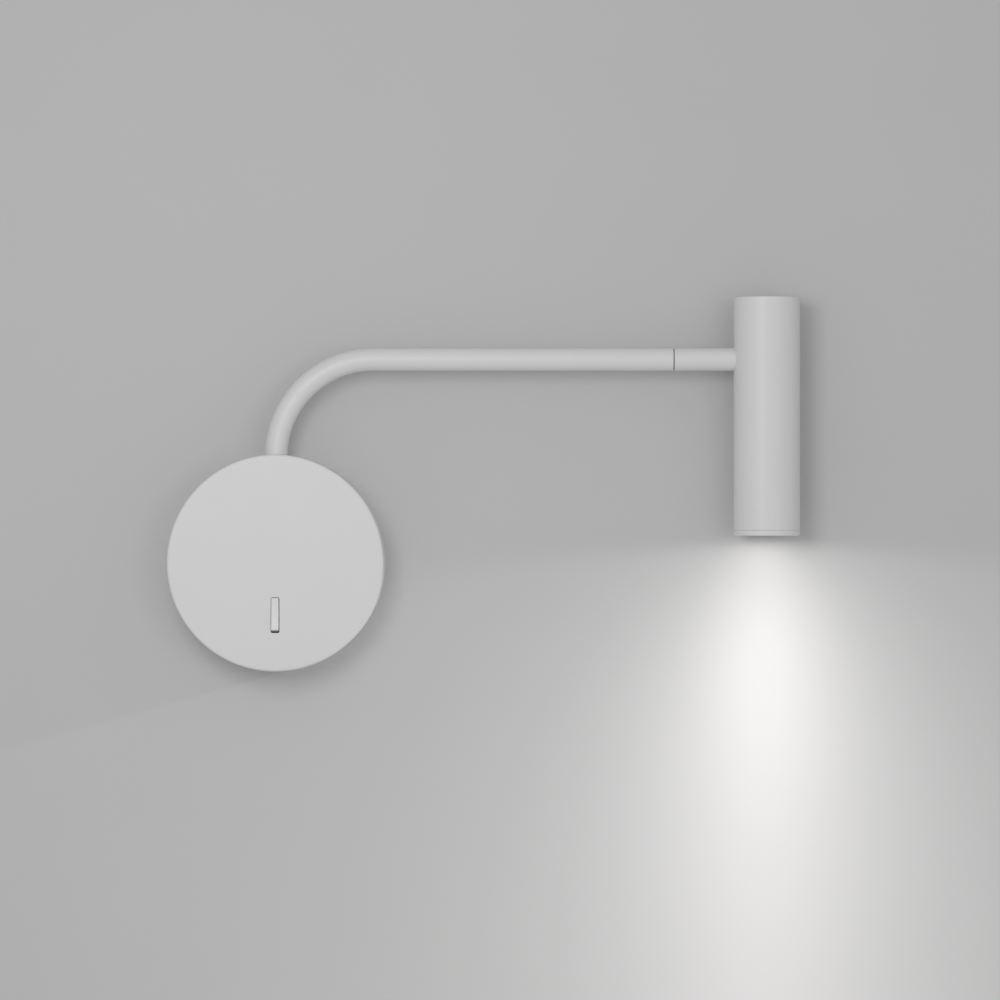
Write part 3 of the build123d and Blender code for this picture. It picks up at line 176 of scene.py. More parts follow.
def rounded_rectangle(width, height, corner, centre=(0, 0), steps=8):
    """Points round a rectangle whose corners are arcs."""
    points = []
    for turn, (x, y) in enumerate(((1, 1), (-1, 1), (-1, -1), (1, -1))):
        middle = (centre[0] + x * (width / 2 - corner), centre[1] + y * (height / 2 - corner))
        points += arc(middle, corner, turn * 90, turn * 90 + 90, steps)
    return points


def in_scene(name, data):
    """Puts a mesh, light or camera in the scene as an object."""
    piece = bpy.data.objects.new(name, data)
    bpy.context.scene.collection.objects.link(piece)
    return piece


def work_in(piece):
    """Works a piece's modifiers into its mesh."""
    view = bpy.context.evaluated_depsgraph_get()
    view.update()
    mesh = bpy.data.meshes.new_from_object(piece.evaluated_get(view))
    piece.modifiers.clear()
    piece.data = mesh


def cut(piece, cutters, operation="DIFFERENCE"):
    """Takes the cutters out of the piece, or adds them to it, and throws them away."""
    for number, mesh in enumerate(cutters):
        cutter = in_scene(f"cutter_{number}", mesh)
        step = piece.modifiers.new("cut", "BOOLEAN")
        step.operation = operation
        step.solver = "EXACT"
        step.object = cutter
        work_in(piece)
        bpy.data.objects.remove(cutter)


def stands_for(piece, name, sharp=32):
    """Shades a piece, gives it a node's finish, and lets it ride and stand in the node's place."""
    piece.data.materials.clear()
    piece.data.materials.append(finishes[slot_of[name]])
    for face in piece.data.polygons:
        face.material_index = 0
    piece.data.shade_smooth()
    piece.data.set_sharp_from_angle(angle=radians(sharp))
    even = piece.modifiers.new("even", "WEIGHTED_NORMAL")
    even.keep_sharp = True
    work_in(piece)
    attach(piece, body_of[name])
    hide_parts(name)


# ------------------------------------------------------------------ materials


def linear(code):
    """An sRGB hex value as linear colour."""
    values = [int(code[at : at + 2], 16) / 255 for at in (1, 3, 5)]
    return tuple(v / 12.92 if v <= 0.04045 else ((v + 0.055) / 1.055) ** 2.4 for v in values) + (1.0,)


def node(tree, kind, links=None, **settings):
    """Adds a node; links gives its inputs either a value or another node's socket."""
    made = tree.nodes.new(kind)
    for name, value in settings.items():
        setattr(made, name, value)
    for name, value in (links or {}).items():
        if isinstance(value, (bpy.types.NodeSocket, list)):
            for source in value if isinstance(value, list) else [value]:
                tree.links.new(source, made.inputs[name])
        else:
            made.inputs[name].default_value = value
    return made


def per(size):
    """The texture scale at which a pattern repeats every so many millimetres."""
    return 1 / (size * MM)


def blank(name):
    """A new material, its empty tree and the coordinates that its patterns lie in."""
    material = bpy.data.materials.new(name)
    material.use_nodes = True
    tree = material.node_tree
    tree.nodes.clear()
    place = node(tree, "ShaderNodeTexCoord")
    return material, tree, place.outputs["Object"]


def finished(material, tree, **values):
    """Gives a material its shader, with these values or sockets on the shader's own inputs."""
    inputs = {key.replace("_", " "): value for key, value in values.items()}
    shader = node(tree, "ShaderNodeBsdfPrincipled", inputs)
    node(tree, "ShaderNodeOutputMaterial", {"Surface": shader.outputs["BSDF"]})
    return material


FAC, SHADE, RANGE, BUMPED = "Fac", 2, "Result", "Normal"  # outputs of noise, mix, range and bump
MIX_FACTOR, MIX_DARK, MIX_LIGHT = 0, 6, 7  # inputs of a mix of two colours
MIX_ONE, MIX_OTHER = 2, 3  # and of two values


def powder_coat():
    """Baked white polyester powder: matt, with a soft orange peel that breaks up the highlights."""
    material, tree, place = blank("white_powder_coat")
    film = node(tree, "ShaderNodeTexNoise", {"Vector": place, "Scale": per(30), "Detail": 3.0})
    shades = {MIX_FACTOR: film.outputs[FAC], MIX_DARK: linear("#D5D5D5"), MIX_LIGHT: linear("#D8D8D8")}
    colour = node(tree, "ShaderNodeMix", shades, data_type="RGBA")
    skin_of_orange = {"Vector": place, "Scale": per(0.9), "Detail": 2.0, "Roughness": 0.45}
    peel = node(tree, "ShaderNodeTexNoise", skin_of_orange)
    grit = node(tree, "ShaderNodeTexNoise", {"Vector": place, "Scale": per(0.25), "Detail": 1.0})
    gloss = {"Value": peel.outputs[FAC], "From Min": 0.3, "From Max": 0.7, "To Min": 0.38, "To Max": 0.48}
    rough = node(tree, "ShaderNodeMapRange", gloss)
    swell = {"Height": peel.outputs[FAC], "Distance": 0.02 * MM, "Strength": 0.5}
    waves = node(tree, "ShaderNodeBump", swell)
    raised = {
        "Height": grit.outputs[FAC],
        "Distance": 0.004 * MM,
        "Strength": 0.5,
        "Normal": waves.outputs[BUMPED],
    }
    grain = node(tree, "ShaderNodeBump", raised)
    return finished(
        material,
        tree,
        Base_Color=colour.outputs[SHADE],
        Roughness=rough.outputs[RANGE],
        Normal=grain.outputs[BUMPED],
    )


def rocker_plastic():
    """Injection-moulded white ABS: slightly glossier than the paint, with a fine spark texture."""
    material, tree, place = blank("rocker_abs")
    flow = node(tree, "ShaderNodeTexNoise", {"Vector": place, "Scale": per(12), "Detail": 3.0})
    shades = {MIX_FACTOR: flow.outputs[FAC], MIX_DARK: linear("#D0D0D0"), MIX_LIGHT: linear("#D4D4D4")}
    colour = node(tree, "ShaderNodeMix", shades, data_type="RGBA")
    spark = node(tree, "ShaderNodeTexNoise", {"Vector": place, "Scale": per(0.12), "Detail": 2.0})
    gloss = {"Value": spark.outputs[FAC], "From Min": 0.3, "From Max": 0.7, "To Min": 0.28, "To Max": 0.4}
    rough = node(tree, "ShaderNodeMapRange", gloss)
    raised = {"Height": spark.outputs[FAC], "Distance": 0.004 * MM, "Strength": 0.6}
    grain = node(tree, "ShaderNodeBump", raised)
    return finished(
        material,
        tree,
        Base_Color=colour.outputs[SHADE],
        Roughness=rough.outputs[RANGE],
        Normal=grain.outputs[BUMPED],
        IOR=1.54,
    )


def metal(name, dark, light, cloud, smooth, dull, lines=None, step=0.35, depth=0.004):
    """A bare or plated metal: its colour and gloss drift in clouds, and fine lines or grit mark its skin.

    lines stretches the marks along the way that the metal was rolled, drawn or turned. Real lines and grit
    are finer, and these are drawn as coarse as they need to be to show.
    """
    material, tree, place = blank(name)
    clouds = node(tree, "ShaderNodeTexNoise", {"Vector": place, "Scale": per(cloud), "Detail": 5.0})
    shades = {MIX_FACTOR: clouds.outputs[FAC], MIX_DARK: linear(dark), MIX_LIGHT: linear(light)}
    colour = node(tree, "ShaderNodeMix", shades, data_type="RGBA")
    drawn = node(tree, "ShaderNodeMapping", {"Vector": place, "Scale": lines or (1.0, 1.0, 1.0)})
    scratches = {"Vector": drawn.outputs["Vector"], "Scale": per(step), "Detail": 3.0}
    marks = node(tree, "ShaderNodeTexNoise", scratches)
    even = {MIX_FACTOR: 0.5, MIX_ONE: clouds.outputs[FAC], MIX_OTHER: marks.outputs[FAC]}
    both = node(tree, "ShaderNodeMix", even)
    gloss = {"Value": both.outputs[0], "From Min": 0.35, "From Max": 0.65, "To Min": smooth, "To Max": dull}
    rough = node(tree, "ShaderNodeMapRange", gloss)
    raised = {"Height": marks.outputs[FAC], "Distance": depth * MM, "Strength": 0.7}
    grain = node(tree, "ShaderNodeBump", raised)
    return finished(
        material,
        tree,
        Base_Color=colour.outputs[SHADE],
        Roughness=rough.outputs[RANGE],
        Normal=grain.outputs[BUMPED],
        Metallic=1.0,
    )


def moulding(name, dark, light, smooth, dull, grit, depth=0.01, ior=1.5, cloud=14):
    """A moulded or extruded plastic or rubber: an even colour under the grain of its mould or die."""
    material, tree, place = blank(name)
    flow = node(tree, "ShaderNodeTexNoise", {"Vector": place, "Scale": per(cloud), "Detail": 3.0})
    shades = {MIX_FACTOR: flow.outputs[FAC], MIX_DARK: linear(dark), MIX_LIGHT: linear(light)}
    colour = node(tree, "ShaderNodeMix", shades, data_type="RGBA")
    spark = node(tree, "ShaderNodeTexNoise", {"Vector": place, "Scale": per(grit), "Detail": 3.0})
    gloss = {
        "Value": spark.outputs[FAC],
        "From Min": 0.3,
        "From Max": 0.7,
        "To Min": smooth,
        "To Max": dull,
    }
    rough = node(tree, "ShaderNodeMapRange", gloss)
    raised = {"Height": spark.outputs[FAC], "Distance": depth * MM, "Strength": 0.6}
    grain = node(tree, "ShaderNodeBump", raised)
    return finished(
        material,
        tree,
        Base_Color=colour.outputs[SHADE],
        Roughness=rough.outputs[RANGE],
        Normal=grain.outputs[BUMPED],
        IOR=ior,
    )


def solder_mask(name, dark, light, trace):
    """A circuit board's lacquer, glossy over raised copper tracks."""
    material, tree, place = blank(name)
    flat = node(tree, "ShaderNodeMapping", {"Vector": place, "Scale": (1.0, 0.0, 1.0)})
    bricks = {
        "Vector": flat.outputs["Vector"],
        "Scale": per(2.2),
        "Color1": (0, 0, 0, 1),
        "Color2": (0, 0, 0, 1),
        "Mortar": (1, 1, 1, 1),
        "Mortar Size": 0.03,
    }
    tracks = node(tree, "ShaderNodeTexBrick", bricks)
    film = node(tree, "ShaderNodeTexNoise", {"Vector": place, "Scale": per(8), "Detail": 2.0})
    shades = {MIX_FACTOR: film.outputs[FAC], MIX_DARK: linear(dark), MIX_LIGHT: linear(light)}
    ground = node(tree, "ShaderNodeMix", shades, data_type="RGBA")
    drawn = {MIX_FACTOR: tracks.outputs["Color"], MIX_DARK: ground.outputs[SHADE], MIX_LIGHT: linear(trace)}
    colour = node(tree, "ShaderNodeMix", drawn, data_type="RGBA")
    copper = {"Height": tracks.outputs["Color"], "Distance": 0.03 * MM, "Strength": 0.6}
    raised = node(tree, "ShaderNodeBump", copper)
    return finished(
        material,
        tree,
        Base_Color=colour.outputs[SHADE],
        Normal=raised.outputs[BUMPED],
        Roughness=0.3,
        Coat_Weight=0.3,
        Coat_Roughness=0.15,
    )


def earth_jacket():
    """Green PVC insulation with a yellow stripe that winds round it."""
    material, tree, place = blank("earth_pvc")
    slant = node(tree, "ShaderNodeMapping", {"Vector": place, "Scale": (1.0, 0.0, 0.5)})
    wave = {"Vector": slant.outputs["Vector"], "Scale": per(20), "Distortion": 0.0}
    stripe = node(tree, "ShaderNodeTexWave", wave, wave_type="BANDS", bands_direction="DIAGONAL")
    border = {"Value": stripe.outputs[FAC], "From Min": 0.62, "From Max": 0.66}
    edge = node(tree, "ShaderNodeMapRange", border)
    shades = {MIX_FACTOR: edge.outputs[RANGE], MIX_DARK: linear("#2E7D32"), MIX_LIGHT: linear("#E3C81E")}
    colour = node(tree, "ShaderNodeMix", shades, data_type="RGBA")
    return finished(material, tree, Base_Color=colour.outputs[SHADE], Roughness=0.36, IOR=1.53)


def phosphor():
    """The chip's clear silicone over yellow phosphor, lit."""
    material, tree, place = blank("led_phosphor")
    grains = node(tree, "ShaderNodeTexNoise", {"Vector": place, "Scale": per(0.6), "Detail": 3.0})
    shades = {MIX_FACTOR: grains.outputs[FAC], MIX_DARK: linear("#F1CB3A"), MIX_LIGHT: linear("#F7DB66")}
    colour = node(tree, "ShaderNodeMix", shades, data_type="RGBA")
    return finished(
        material,
        tree,
        Base_Color=colour.outputs[SHADE],
        Roughness=0.35,
        Coat_Weight=0.5,
        Emission_Color=linear("#FFF3E0"),
        Emission_Strength=CHIP_GLOW,
    )


def clear_acrylic():
    """A clear moulded lens with a fine pillow pattern on its face; its emission is a painted glow that
    stands in for the chip's light coming through it.
    """
    material, tree, place = blank("clear_acrylic")
    flat = node(tree, "ShaderNodeMapping", {"Vector": place, "Scale": (1.0, 1.0, 0.0)})
    pillows = node(tree, "ShaderNodeTexVoronoi", {"Vector": flat.outputs["Vector"], "Scale": per(1.6)})
    raised = {"Height": pillows.outputs["Distance"], "Distance": 0.15 * MM, "Strength": 0.5}
    domes = node(tree, "ShaderNodeBump", raised)
    return finished(
        material,
        tree,
        Base_Color=linear("#F7F8F8"),
        Normal=domes.outputs[BUMPED],
        Roughness=0.05,
        IOR=1.49,
        Transmission_Weight=1.0,
        Emission_Color=linear("#FFF6E8"),
        Emission_Strength=LENS_PAINTED_GLOW,
    )


def clear_glass():
    """Flat drawn glass with polished faces and a faint green in its edge."""
    material, tree, place = blank("clear_glass")
    draw = node(tree, "ShaderNodeTexNoise", {"Vector": place, "Scale": per(15), "Detail": 1.0})
    ripple = {"Height": draw.outputs[FAC], "Distance": 0.02 * MM, "Strength": 0.2}
    waves = node(tree, "ShaderNodeBump", ripple)
    return finished(
        material,
        tree,
        Base_Color=linear("#F1F6F3"),
        Normal=waves.outputs[BUMPED],
        Roughness=0.02,
        IOR=1.52,
        Transmission_Weight=1.0,
    )


CHIP_GLOW = 12.0
LENS_PAINTED_GLOW = 0.6  # a painted glow on the lens, standing in for the chip's light seen through it
UPRIGHT = (1.0, 1.0, 0.03)  # marks drawn out along z
ROUND_Z = (0.03, 0.03, 1.0)  # feed marks on a piece turned about an upright axis
ROUND_X = (1.0, 0.03, 0.03)  # and on one turned about the arm's run

finishes = {
    "white_powder_coat": powder_coat(),
    # bright zinc on rolled steel sheet: a cool grey with rolling lines and faint clouds
    "zinc_plate": metal("zinc_plated_sheet", "#B4B8BC", "#C9CCCE", 9, 0.26, 0.42, UPRIGHT),
    # moulded rubber: dull, with a faint bloom
    "black_rubber": moulding("black_rubber", "#18181A", "#242426", 0.65, 0.85, 1.5, 0.02, 1.52, 4),
    # a screw head sprayed to match the cover
    "white_screw": moulding("painted_screw", "#CFCFCF", "#D4D4D4", 0.36, 0.46, 0.6, 0.015, 1.5, 5),
    # zinc alloy as cast and tumbled: dull grey with a sandy skin
    "die_casting": metal("die_cast_zinc", "#96989A", "#ACAEAF", 7, 0.42, 0.6, step=0.3, depth=0.02),
    # zinc-plated screws and nuts: bright, with small handling marks
    "zinc_screw": metal("zinc_plated_hardware", "#B9BDC0", "#D2D4D5", 2.5, 0.2, 0.4, step=0.8, depth=0.006),
    # moulded acetal: creamy, with a waxy half-gloss
    "white_acetal": moulding("white_acetal", "#E2DFD6", "#E9E6DD", 0.28, 0.42, 0.5, ior=1.48),
    # moulded polycarbonate with a fine grain: satin
    "driver_plastic": moulding(
        "driver_case_polycarbonate", "#D3D3D1", "#DADAD8", 0.39, 0.53, 0.35, ior=1.58
    ),
    # lacquered glass-fibre board: glossy, with its tracks standing up through the colour
    "green_circuit_board": solder_mask("green_solder_mask", "#0F4A26", "#145A2F", "#2C7A45"),
    # moulded polyamide: ivory, a little dull
    "terminal_plastic": moulding("terminal_polyamide", "#DBD7CA", "#E3DFD3", 0.36, 0.5, 0.4, ior=1.53),
    # stamped brass strip: warm, a little tarnished
    "brass": metal("stamped_brass", "#BF9A52", "#DDBD74", 4, 0.24, 0.42, step=0.4),
    # turned parts: fine feed marks run round the piece
    "turned_brass": metal("turned_brass", "#C29C50", "#DDBA6C", 6, 0.2, 0.36, ROUND_X, 0.18, 0.006),
    # moulded black polycarbonate: smooth, with a soft gloss
    "black_plastic": moulding("black_polycarbonate", "#161617", "#1E1E20", 0.34, 0.48, 0.3, ior=1.58),
    "rocker_plastic": rocker_plastic(),
    # extruded insulation: a soft gloss with a faint drawn grain
    "brown_wire": moulding("brown_pvc", "#5A3218", "#6A3D1F", 0.3, 0.44, 0.8, ior=1.53, cloud=3),
    "black_wire": moulding("black_pvc", "#161616", "#202020", 0.3, 0.44, 0.8, ior=1.53, cloud=3),
    "blue_wire": moulding("blue_pvc", "#1F55A8", "#2A63BA", 0.3, 0.44, 0.8, ior=1.53, cloud=3),
    "white_cable": moulding("white_pvc", "#DEDEDB", "#E8E8E5", 0.3, 0.44, 0.8, ior=1.53, cloud=3),
    "earth_wire": earth_jacket(),
    "turned_steel": metal("turned_steel", "#ADB0B4", "#C3C5C8", 6, 0.2, 0.36, ROUND_Z, 0.18, 0.006),
    # hardened and tempered strip: dark, blue-grey, oiled
    "spring_steel": metal("spring_steel", "#5A5E66", "#74757A", 3, 0.22, 0.38, step=0.5),
    # moulded nylon: dull and fine-grained
    "black_nylon": moulding("black_nylon", "#1A1A1B", "#232324", 0.44, 0.58, 0.25, ior=1.53),
    "grey_nylon": moulding("grey_nylon", "#77787A", "#808183", 0.44, 0.58, 0.25, ior=1.53),
    # bare extruded aluminium: satin, with die lines that run up the fins
    "bare_aluminium": metal(
        "extruded_aluminium", "#C6C7C9", "#D8D9DA", 10, 0.28, 0.44, UPRIGHT, 0.25, 0.006
    ),
    # filled silicone sheet: flat grey with no shine
    "thermal_pad": moulding("thermal_pad_silicone", "#8F949C", "#9CA1A8", 0.65, 0.85, 1.5, 0.02, 1.43, 4),
    "white_circuit_board": solder_mask("white_solder_mask", "#E4E4E0", "#EAEAE6", "#D8D8D2"),
    "led_phosphor": phosphor(),
    "clear_lens": clear_acrylic(),
    "front_glass": clear_glass(),
}
turned_across = metal("turned_steel_run", "#ADB0B4", "#C3C5C8", 6, 0.2, 0.36, ROUND_X, 0.18, 0.006)

slot_of = {part["node"]: part["material_slot"] for part in frame["record"]["subparts"]}
body_of = {name: body for body, names in frame["record"]["behaviour"]["bodies"].items() for name in names}
for name, cad_piece in frame["nodes"].items():
    for held in cad_piece.material_slots:
        held.material = finishes[slot_of[name]]
for name in ("head_spindle", "stub_nipple"):
    frame["nodes"][name].material_slots[0].material = turned_across


# ------------------------------------------------------------------ pieces grown from named sizes


def growing_tree(name, sizes):
    """A Geometry Nodes tree with the named sizes as its inputs."""
    tree = bpy.data.node_groups.new(name, "GeometryNodeTree")
    tree.interface.new_socket("Geometry", in_out="INPUT", socket_type="NodeSocketGeometry")
    tree.interface.new_socket("Geometry", in_out="OUTPUT", socket_type="NodeSocketGeometry")
    for label, value in sizes.items():
        kind = "NodeSocketInt" if isinstance(value, int) else "NodeSocketFloat"
        tree.interface.new_socket(label, in_out="INPUT", socket_type=kind)
    return tree, node(tree, "NodeGroupInput").outputs


def grown(name, tree, sizes, points, place, joined=()):
    """Works a tree out on some points into one plain mesh, and lays that in its place."""
    mesh = bpy.data.meshes.new(name)
    mesh.from_pydata([tuple(point) for point in points], joined, [])
    piece = in_scene(name, mesh)
    step = piece.modifiers.new("grow", "NODES")
    step.node_group = tree
    for socket in tree.interface.items_tree:
        if socket.in_out == "INPUT" and socket.name in sizes:
            step[socket.identifier] = sizes[socket.name]
    work_in(piece)
    piece.data.transform(place)
    return piece


def screw_tree(name, sizes, finish):
    """A pan head with a hexagon socket over a threaded shank, on every point."""
    tree, size = growing_tree(name, sizes)
    head, height = size["Head radius"], size["Head height"]
    shank, length, pitch = size["Shank radius"], size["Length"], size["Pitch"]
    # every part of the screw is a share of one of its sizes, and so is the height that it stands at
    shares = {
        "rim": (height, 0.6),
        "crown": (height, 0.41),
        "crown top": (head, 0.8),
        "core": (length, 1.02),
        "core radius": (shank, 0.86),
        "key": (height, 1.2),
        "key radius": (shank, 0.75),
        "thread": (length, 0.92),
        "crest": (shank, 0.9),
        "ridge": (pitch, 0.3),
        "rim at": (height, 0.3),
        "crown at": (height, 0.59),
        "core at": (length, -0.49),
        "key at": (height, 1.0),
        "thread at": (length, -0.96),
    }
    part = {}
    for label, (measure, share) in shares.items():
        product = node(tree, "ShaderNodeMath", {0: measure, 1: share}, operation="MULTIPLY")
        part[label] = product.outputs[0]
    rim = {"Vertices": 48, "Radius": head, "Depth": part["rim"]}
    crown = {"Vertices": 48, "Radius Bottom": head, "Radius Top": part["crown top"], "Depth": part["crown"]}
    core = {"Vertices": 32, "Radius": part["core radius"], "Depth": part["core"]}
    key = {"Vertices": 6, "Radius": part["key radius"], "Depth": part["key"]}
    turns = node(tree, "ShaderNodeMath", {0: length, 1: pitch}, operation="DIVIDE")
    winding = {
        "Resolution": 20,
        "Rotations": turns.outputs[0],
        "Start Radius": part["crest"],
        "End Radius": part["crest"],
        "Height": part["thread"],
    }
    helix = node(tree, "GeometryNodeCurveSpiral", winding)
    section = node(tree, "GeometryNodeCurvePrimitiveCircle", {"Resolution": 4, "Radius": part["ridge"]})
    thread = {"Curve": helix.outputs[0], "Profile Curve": section.outputs[0], "Fill Caps": True}
    shapes = {
        "rim": node(tree, "GeometryNodeMeshCylinder", rim),
        "crown": node(tree, "GeometryNodeMeshCone", crown),
        "core": node(tree, "GeometryNodeMeshCylinder", core),
        "key": node(tree, "GeometryNodeMeshCylinder", key),
        "thread": node(tree, "GeometryNodeCurveToMesh", thread),
    }
    placed = {}
    for label, shape in shapes.items():
        lift = node(tree, "ShaderNodeCombineXYZ", {"Z": part[label + " at"]})
        moved = {0: shape.outputs[0], "Translation": lift.outputs[0]}
        placed[label] = node(tree, "GeometryNodeTransform", moved).outputs[0]
    stacked = {"Mesh 2": [placed["rim"], placed["crown"], placed["core"]]}
    plain = node(tree, "GeometryNodeMeshBoolean", stacked, operation="UNION", solver="EXACT")
    socket = {"Mesh 1": plain.outputs[0], "Mesh 2": placed["key"]}
    drive = node(tree, "GeometryNodeMeshBoolean", socket, operation="DIFFERENCE", solver="EXACT")
    screw = node(tree, "GeometryNodeJoinGeometry", {0: [drive.outputs[0], placed["thread"]]})
    set_out = {"Points": size["Geometry"], "Instance": screw.outputs[0]}
    copies = node(tree, "GeometryNodeInstanceOnPoints", set_out)
    real = node(tree, "GeometryNodeRealizeInstances", {0: copies.outputs[0]})
    done = node(tree, "GeometryNodeSetMaterial", {0: real.outputs[0], "Material": finish})
    node(tree, "NodeGroupOutput", {0: done.outputs[0]})
    return tree


SCREW_SIZES = ("Shank radius", "Length", "Head radius", "Head height", "Pitch")
# the axes they stand in, the level under their heads, the way they face, their places and their sizes
SCREWS = {
    "block_screws": (OUT_OF_WALL, 20.0, -1, ((-18.5, 42), (18.5, 42)), (2.0, 10.5, 3.6, 2.5, 0.7)),
    "switch_screws": (OUT_OF_WALL, 25.0, -1, ((0, -44.8), (0, -12.8)), (1.5, 5.5, 2.7, 2.1, 0.5)),
    "driver_screws": (OUT_OF_WALL, 3.5, 1, ((-33, 31), (-33, -31)), (1.5, 3.3, 2.7, 2.1, 0.5)),
    "earth_screw": (OUT_OF_WALL, 2.3, 1, ((14, -36),), (2.0, 2.1, 3.6, 2.5, 0.7)),
    "board_screws": (UP_HEAD, 37.0, -1, ((0, 13.3), (0, -13.3)), (1.2, 6.0, 2.2, 1.5, 0.45)),
}


def screws(name):
    """The screws of one node, grown on their places."""
    axes, level, facing, places, lengths = SCREWS[name]
    sizes = {label: length * MM for label, length in zip(SCREW_SIZES, lengths)}
    seat = axes @ Matrix.Translation((0, 0, level * MM))
    if facing < 0:
        seat = seat @ Matrix.Rotation(pi, 4, "X")
    points = [(x * MM, facing * y * MM, 0) for x, y in places]
    tree = screw_tree(name, sizes, finishes[slot_of[name]])
    stands_for(grown(name.replace("screw", "fixing"), tree, sizes, points, seat), name)


def sink_tree(sizes, finish):
    """A disc with a core and fins that stand round it like a star."""
    tree, size = growing_tree("heat_sink", sizes)
    inner, outer, height, foot = (size[key] for key in ("Core radius", "Radius", "Height", "Foot"))
    reach = node(tree, "ShaderNodeMath", {0: outer, 1: inner}, operation="SUBTRACT")
    middle = node(tree, "ShaderNodeMath", {0: outer, 1: inner}, operation="ADD")
    step = node(tree, "ShaderNodeMath", {0: 2 * pi, 1: size["Fins"]}, operation="DIVIDE")
    # a fin reaches a little into the core, and each shape is lifted by half of its height to stand at zero
    shares = {
        "fin": (reach.outputs[0], 1.06),
        "fin at": (middle.outputs[0], 0.49),
        "half turn": (step.outputs[0], 0.5),
        "half height": (height, 0.5),
        "half foot": (foot, 0.5),
    }
    part = {}
    for label, (measure, share) in shares.items():
        product = node(tree, "ShaderNodeMath", {0: measure, 1: share}, operation="MULTIPLY")
        part[label] = product.outputs[0]
    ring = node(tree, "GeometryNodeMeshCircle", {"Vertices": size["Fins"], "Radius": part["fin at"]})
    block = node(tree, "ShaderNodeCombineXYZ", {"X": part["fin"], "Y": size["Fin thickness"], "Z": height})
    fin = node(tree, "GeometryNodeMeshCube", {"Size": block.outputs[0]})
    index = node(tree, "GeometryNodeInputIndex")
    turn = node(tree, "ShaderNodeMath", {0: index.outputs[0], 1: step.outputs[0]}, operation="MULTIPLY")
    facing = node(tree, "ShaderNodeCombineXYZ", {"Z": turn.outputs[0]})
    star = {"Points": ring.outputs[0], "Instance": fin.outputs[0], "Rotation": facing.outputs[0]}
    fins = node(tree, "GeometryNodeInstanceOnPoints", star)
    loose = node(tree, "GeometryNodeRealizeInstances", {0: fins.outputs[0]})
    post = node(tree, "GeometryNodeMeshCylinder", {"Vertices": 64, "Radius": inner, "Depth": height})
    plate = node(tree, "GeometryNodeMeshCylinder", {"Vertices": 128, "Radius": outer, "Depth": foot})
    up = {}
    for label in ("half turn", "half height", "half foot"):
        up[label] = node(tree, "ShaderNodeCombineXYZ", {"Z": part[label]}).outputs[0]
    raised = {0: loose.outputs[0], "Translation": up["half height"], "Rotation": up["half turn"]}
    standing = node(tree, "GeometryNodeTransform", raised)
    core = node(tree, "GeometryNodeTransform", {0: post.outputs["Mesh"], "Translation": up["half height"]})
    disc = node(tree, "GeometryNodeTransform", {0: plate.outputs["Mesh"], "Translation": up["half foot"]})
    solid = {"Mesh 2": [standing.outputs[0], core.outputs[0], disc.outputs[0]], "Self Intersection": True}
    one = node(tree, "GeometryNodeMeshBoolean", solid, operation="UNION", solver="EXACT")
    real = node(tree, "GeometryNodeRealizeInstances", {0: one.outputs[0]})
    done = node(tree, "GeometryNodeSetMaterial", {0: real.outputs[0], "Material": finish})
    node(tree, "NodeGroupOutput", {0: done.outputs[0]})
    return tree


SINK_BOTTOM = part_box("heat_sink")[0].z
SINK_FOOT = 5.9 * MM
SINK_NOTCH = (8.8 * MM, 5 * MM, 2.2 * MM)  # width, height and corner, at the rim for the cable
SINK_NOTCH_OUT = 15.4 * MM
SINK_NOTCH_TOP = 6.5 * MM
BOARD_SCREW_HOLE = 1.2 * MM
BOARD_SCREW_DEEP = 5 * MM
BOARD_SCREWS_OUT = 13.3 * MM


def finned_sink():
    """The extruded heat sink, notched for the cable and drilled for the board's screws."""
    sizes = {
        "Fins": 10,
        "Fin thickness": 1.2 * MM,
        "Core radius": 4.5 * MM,
        "Radius": size_of("heat_sink").x / 2,
        "Height": size_of("heat_sink").z,
        "Foot": SINK_FOOT,
    }
    place = UP_HEAD @ Matrix.Translation((0, 0, SINK_BOTTOM))
    tree = sink_tree(sizes, finishes[slot_of["heat_sink"]])
    sink = grown("finned_sink", tree, sizes, [(0, 0, 0)], place)
    below = SINK_BOTTOM - PAST
    notch = rounded_rectangle(*SINK_NOTCH, (SINK_NOTCH_OUT, 0))
    cutters = [outline_prism([(below, notch), (SINK_BOTTOM + SINK_NOTCH_TOP, notch)], UP_HEAD)]
    deep = SINK_BOTTOM + BOARD_SCREW_DEEP
    hole = [(0, below), (BOARD_SCREW_HOLE, below), (BOARD_SCREW_HOLE, deep), (0, deep)]
    for side in (-1, 1):
        cutters.append(lathe(hole, UP_HEAD @ Matrix.Translation((0, side * BOARD_SCREWS_OUT, 0)), 32))
    cut(sink, cutters)
    stands_for(sink, "heat_sink")


# ------------------------------------------------------------------ base cover

COVER_EDGE = 1.2 * MM
INSIDE_EDGE = 0.8 * MM
BACK_EDGE = 0.25 * MM
EDGE_MARGIN = 0.4 * MM  # a ring of points beside a rounded edge, so that the flat next to it shades flat
SLOT_CHAMFER = 0.15 * MM
SLOT_CORNER = 0.8 * MM
# the screw bosses inside: their places, their radius and how far off the wall they end
BOSSES = (
    (((-18.5 * MM, 42 * MM), (18.5 * MM, 42 * MM)), 4 * MM, 24 * MM),
    (((0, SWITCH_Z - 16 * MM), (0, SWITCH_Z + 16 * MM)), 3 * MM, 27 * MM),
)
BOSS_EDGE = 0.3 * MM
BOSS_WEB, DRILL_POINT = 1 * MM, 0.6 * MM  # what a boss's blind hole and its point leave under the front
ARM_HOLE = TUBE_RADIUS + 0.3 * MM
ARM_HOLE_FROM = 54 * MM
SCREW_DEPTH = 8 * MM
# a side screw's bore and countersink, in millimetres of radius and of height off the cover's axis
SIDE_HOLE = ((0, 55), (1.6, 55), (1.6, 58.3), (3.2, 60.1), (0, 60.1))


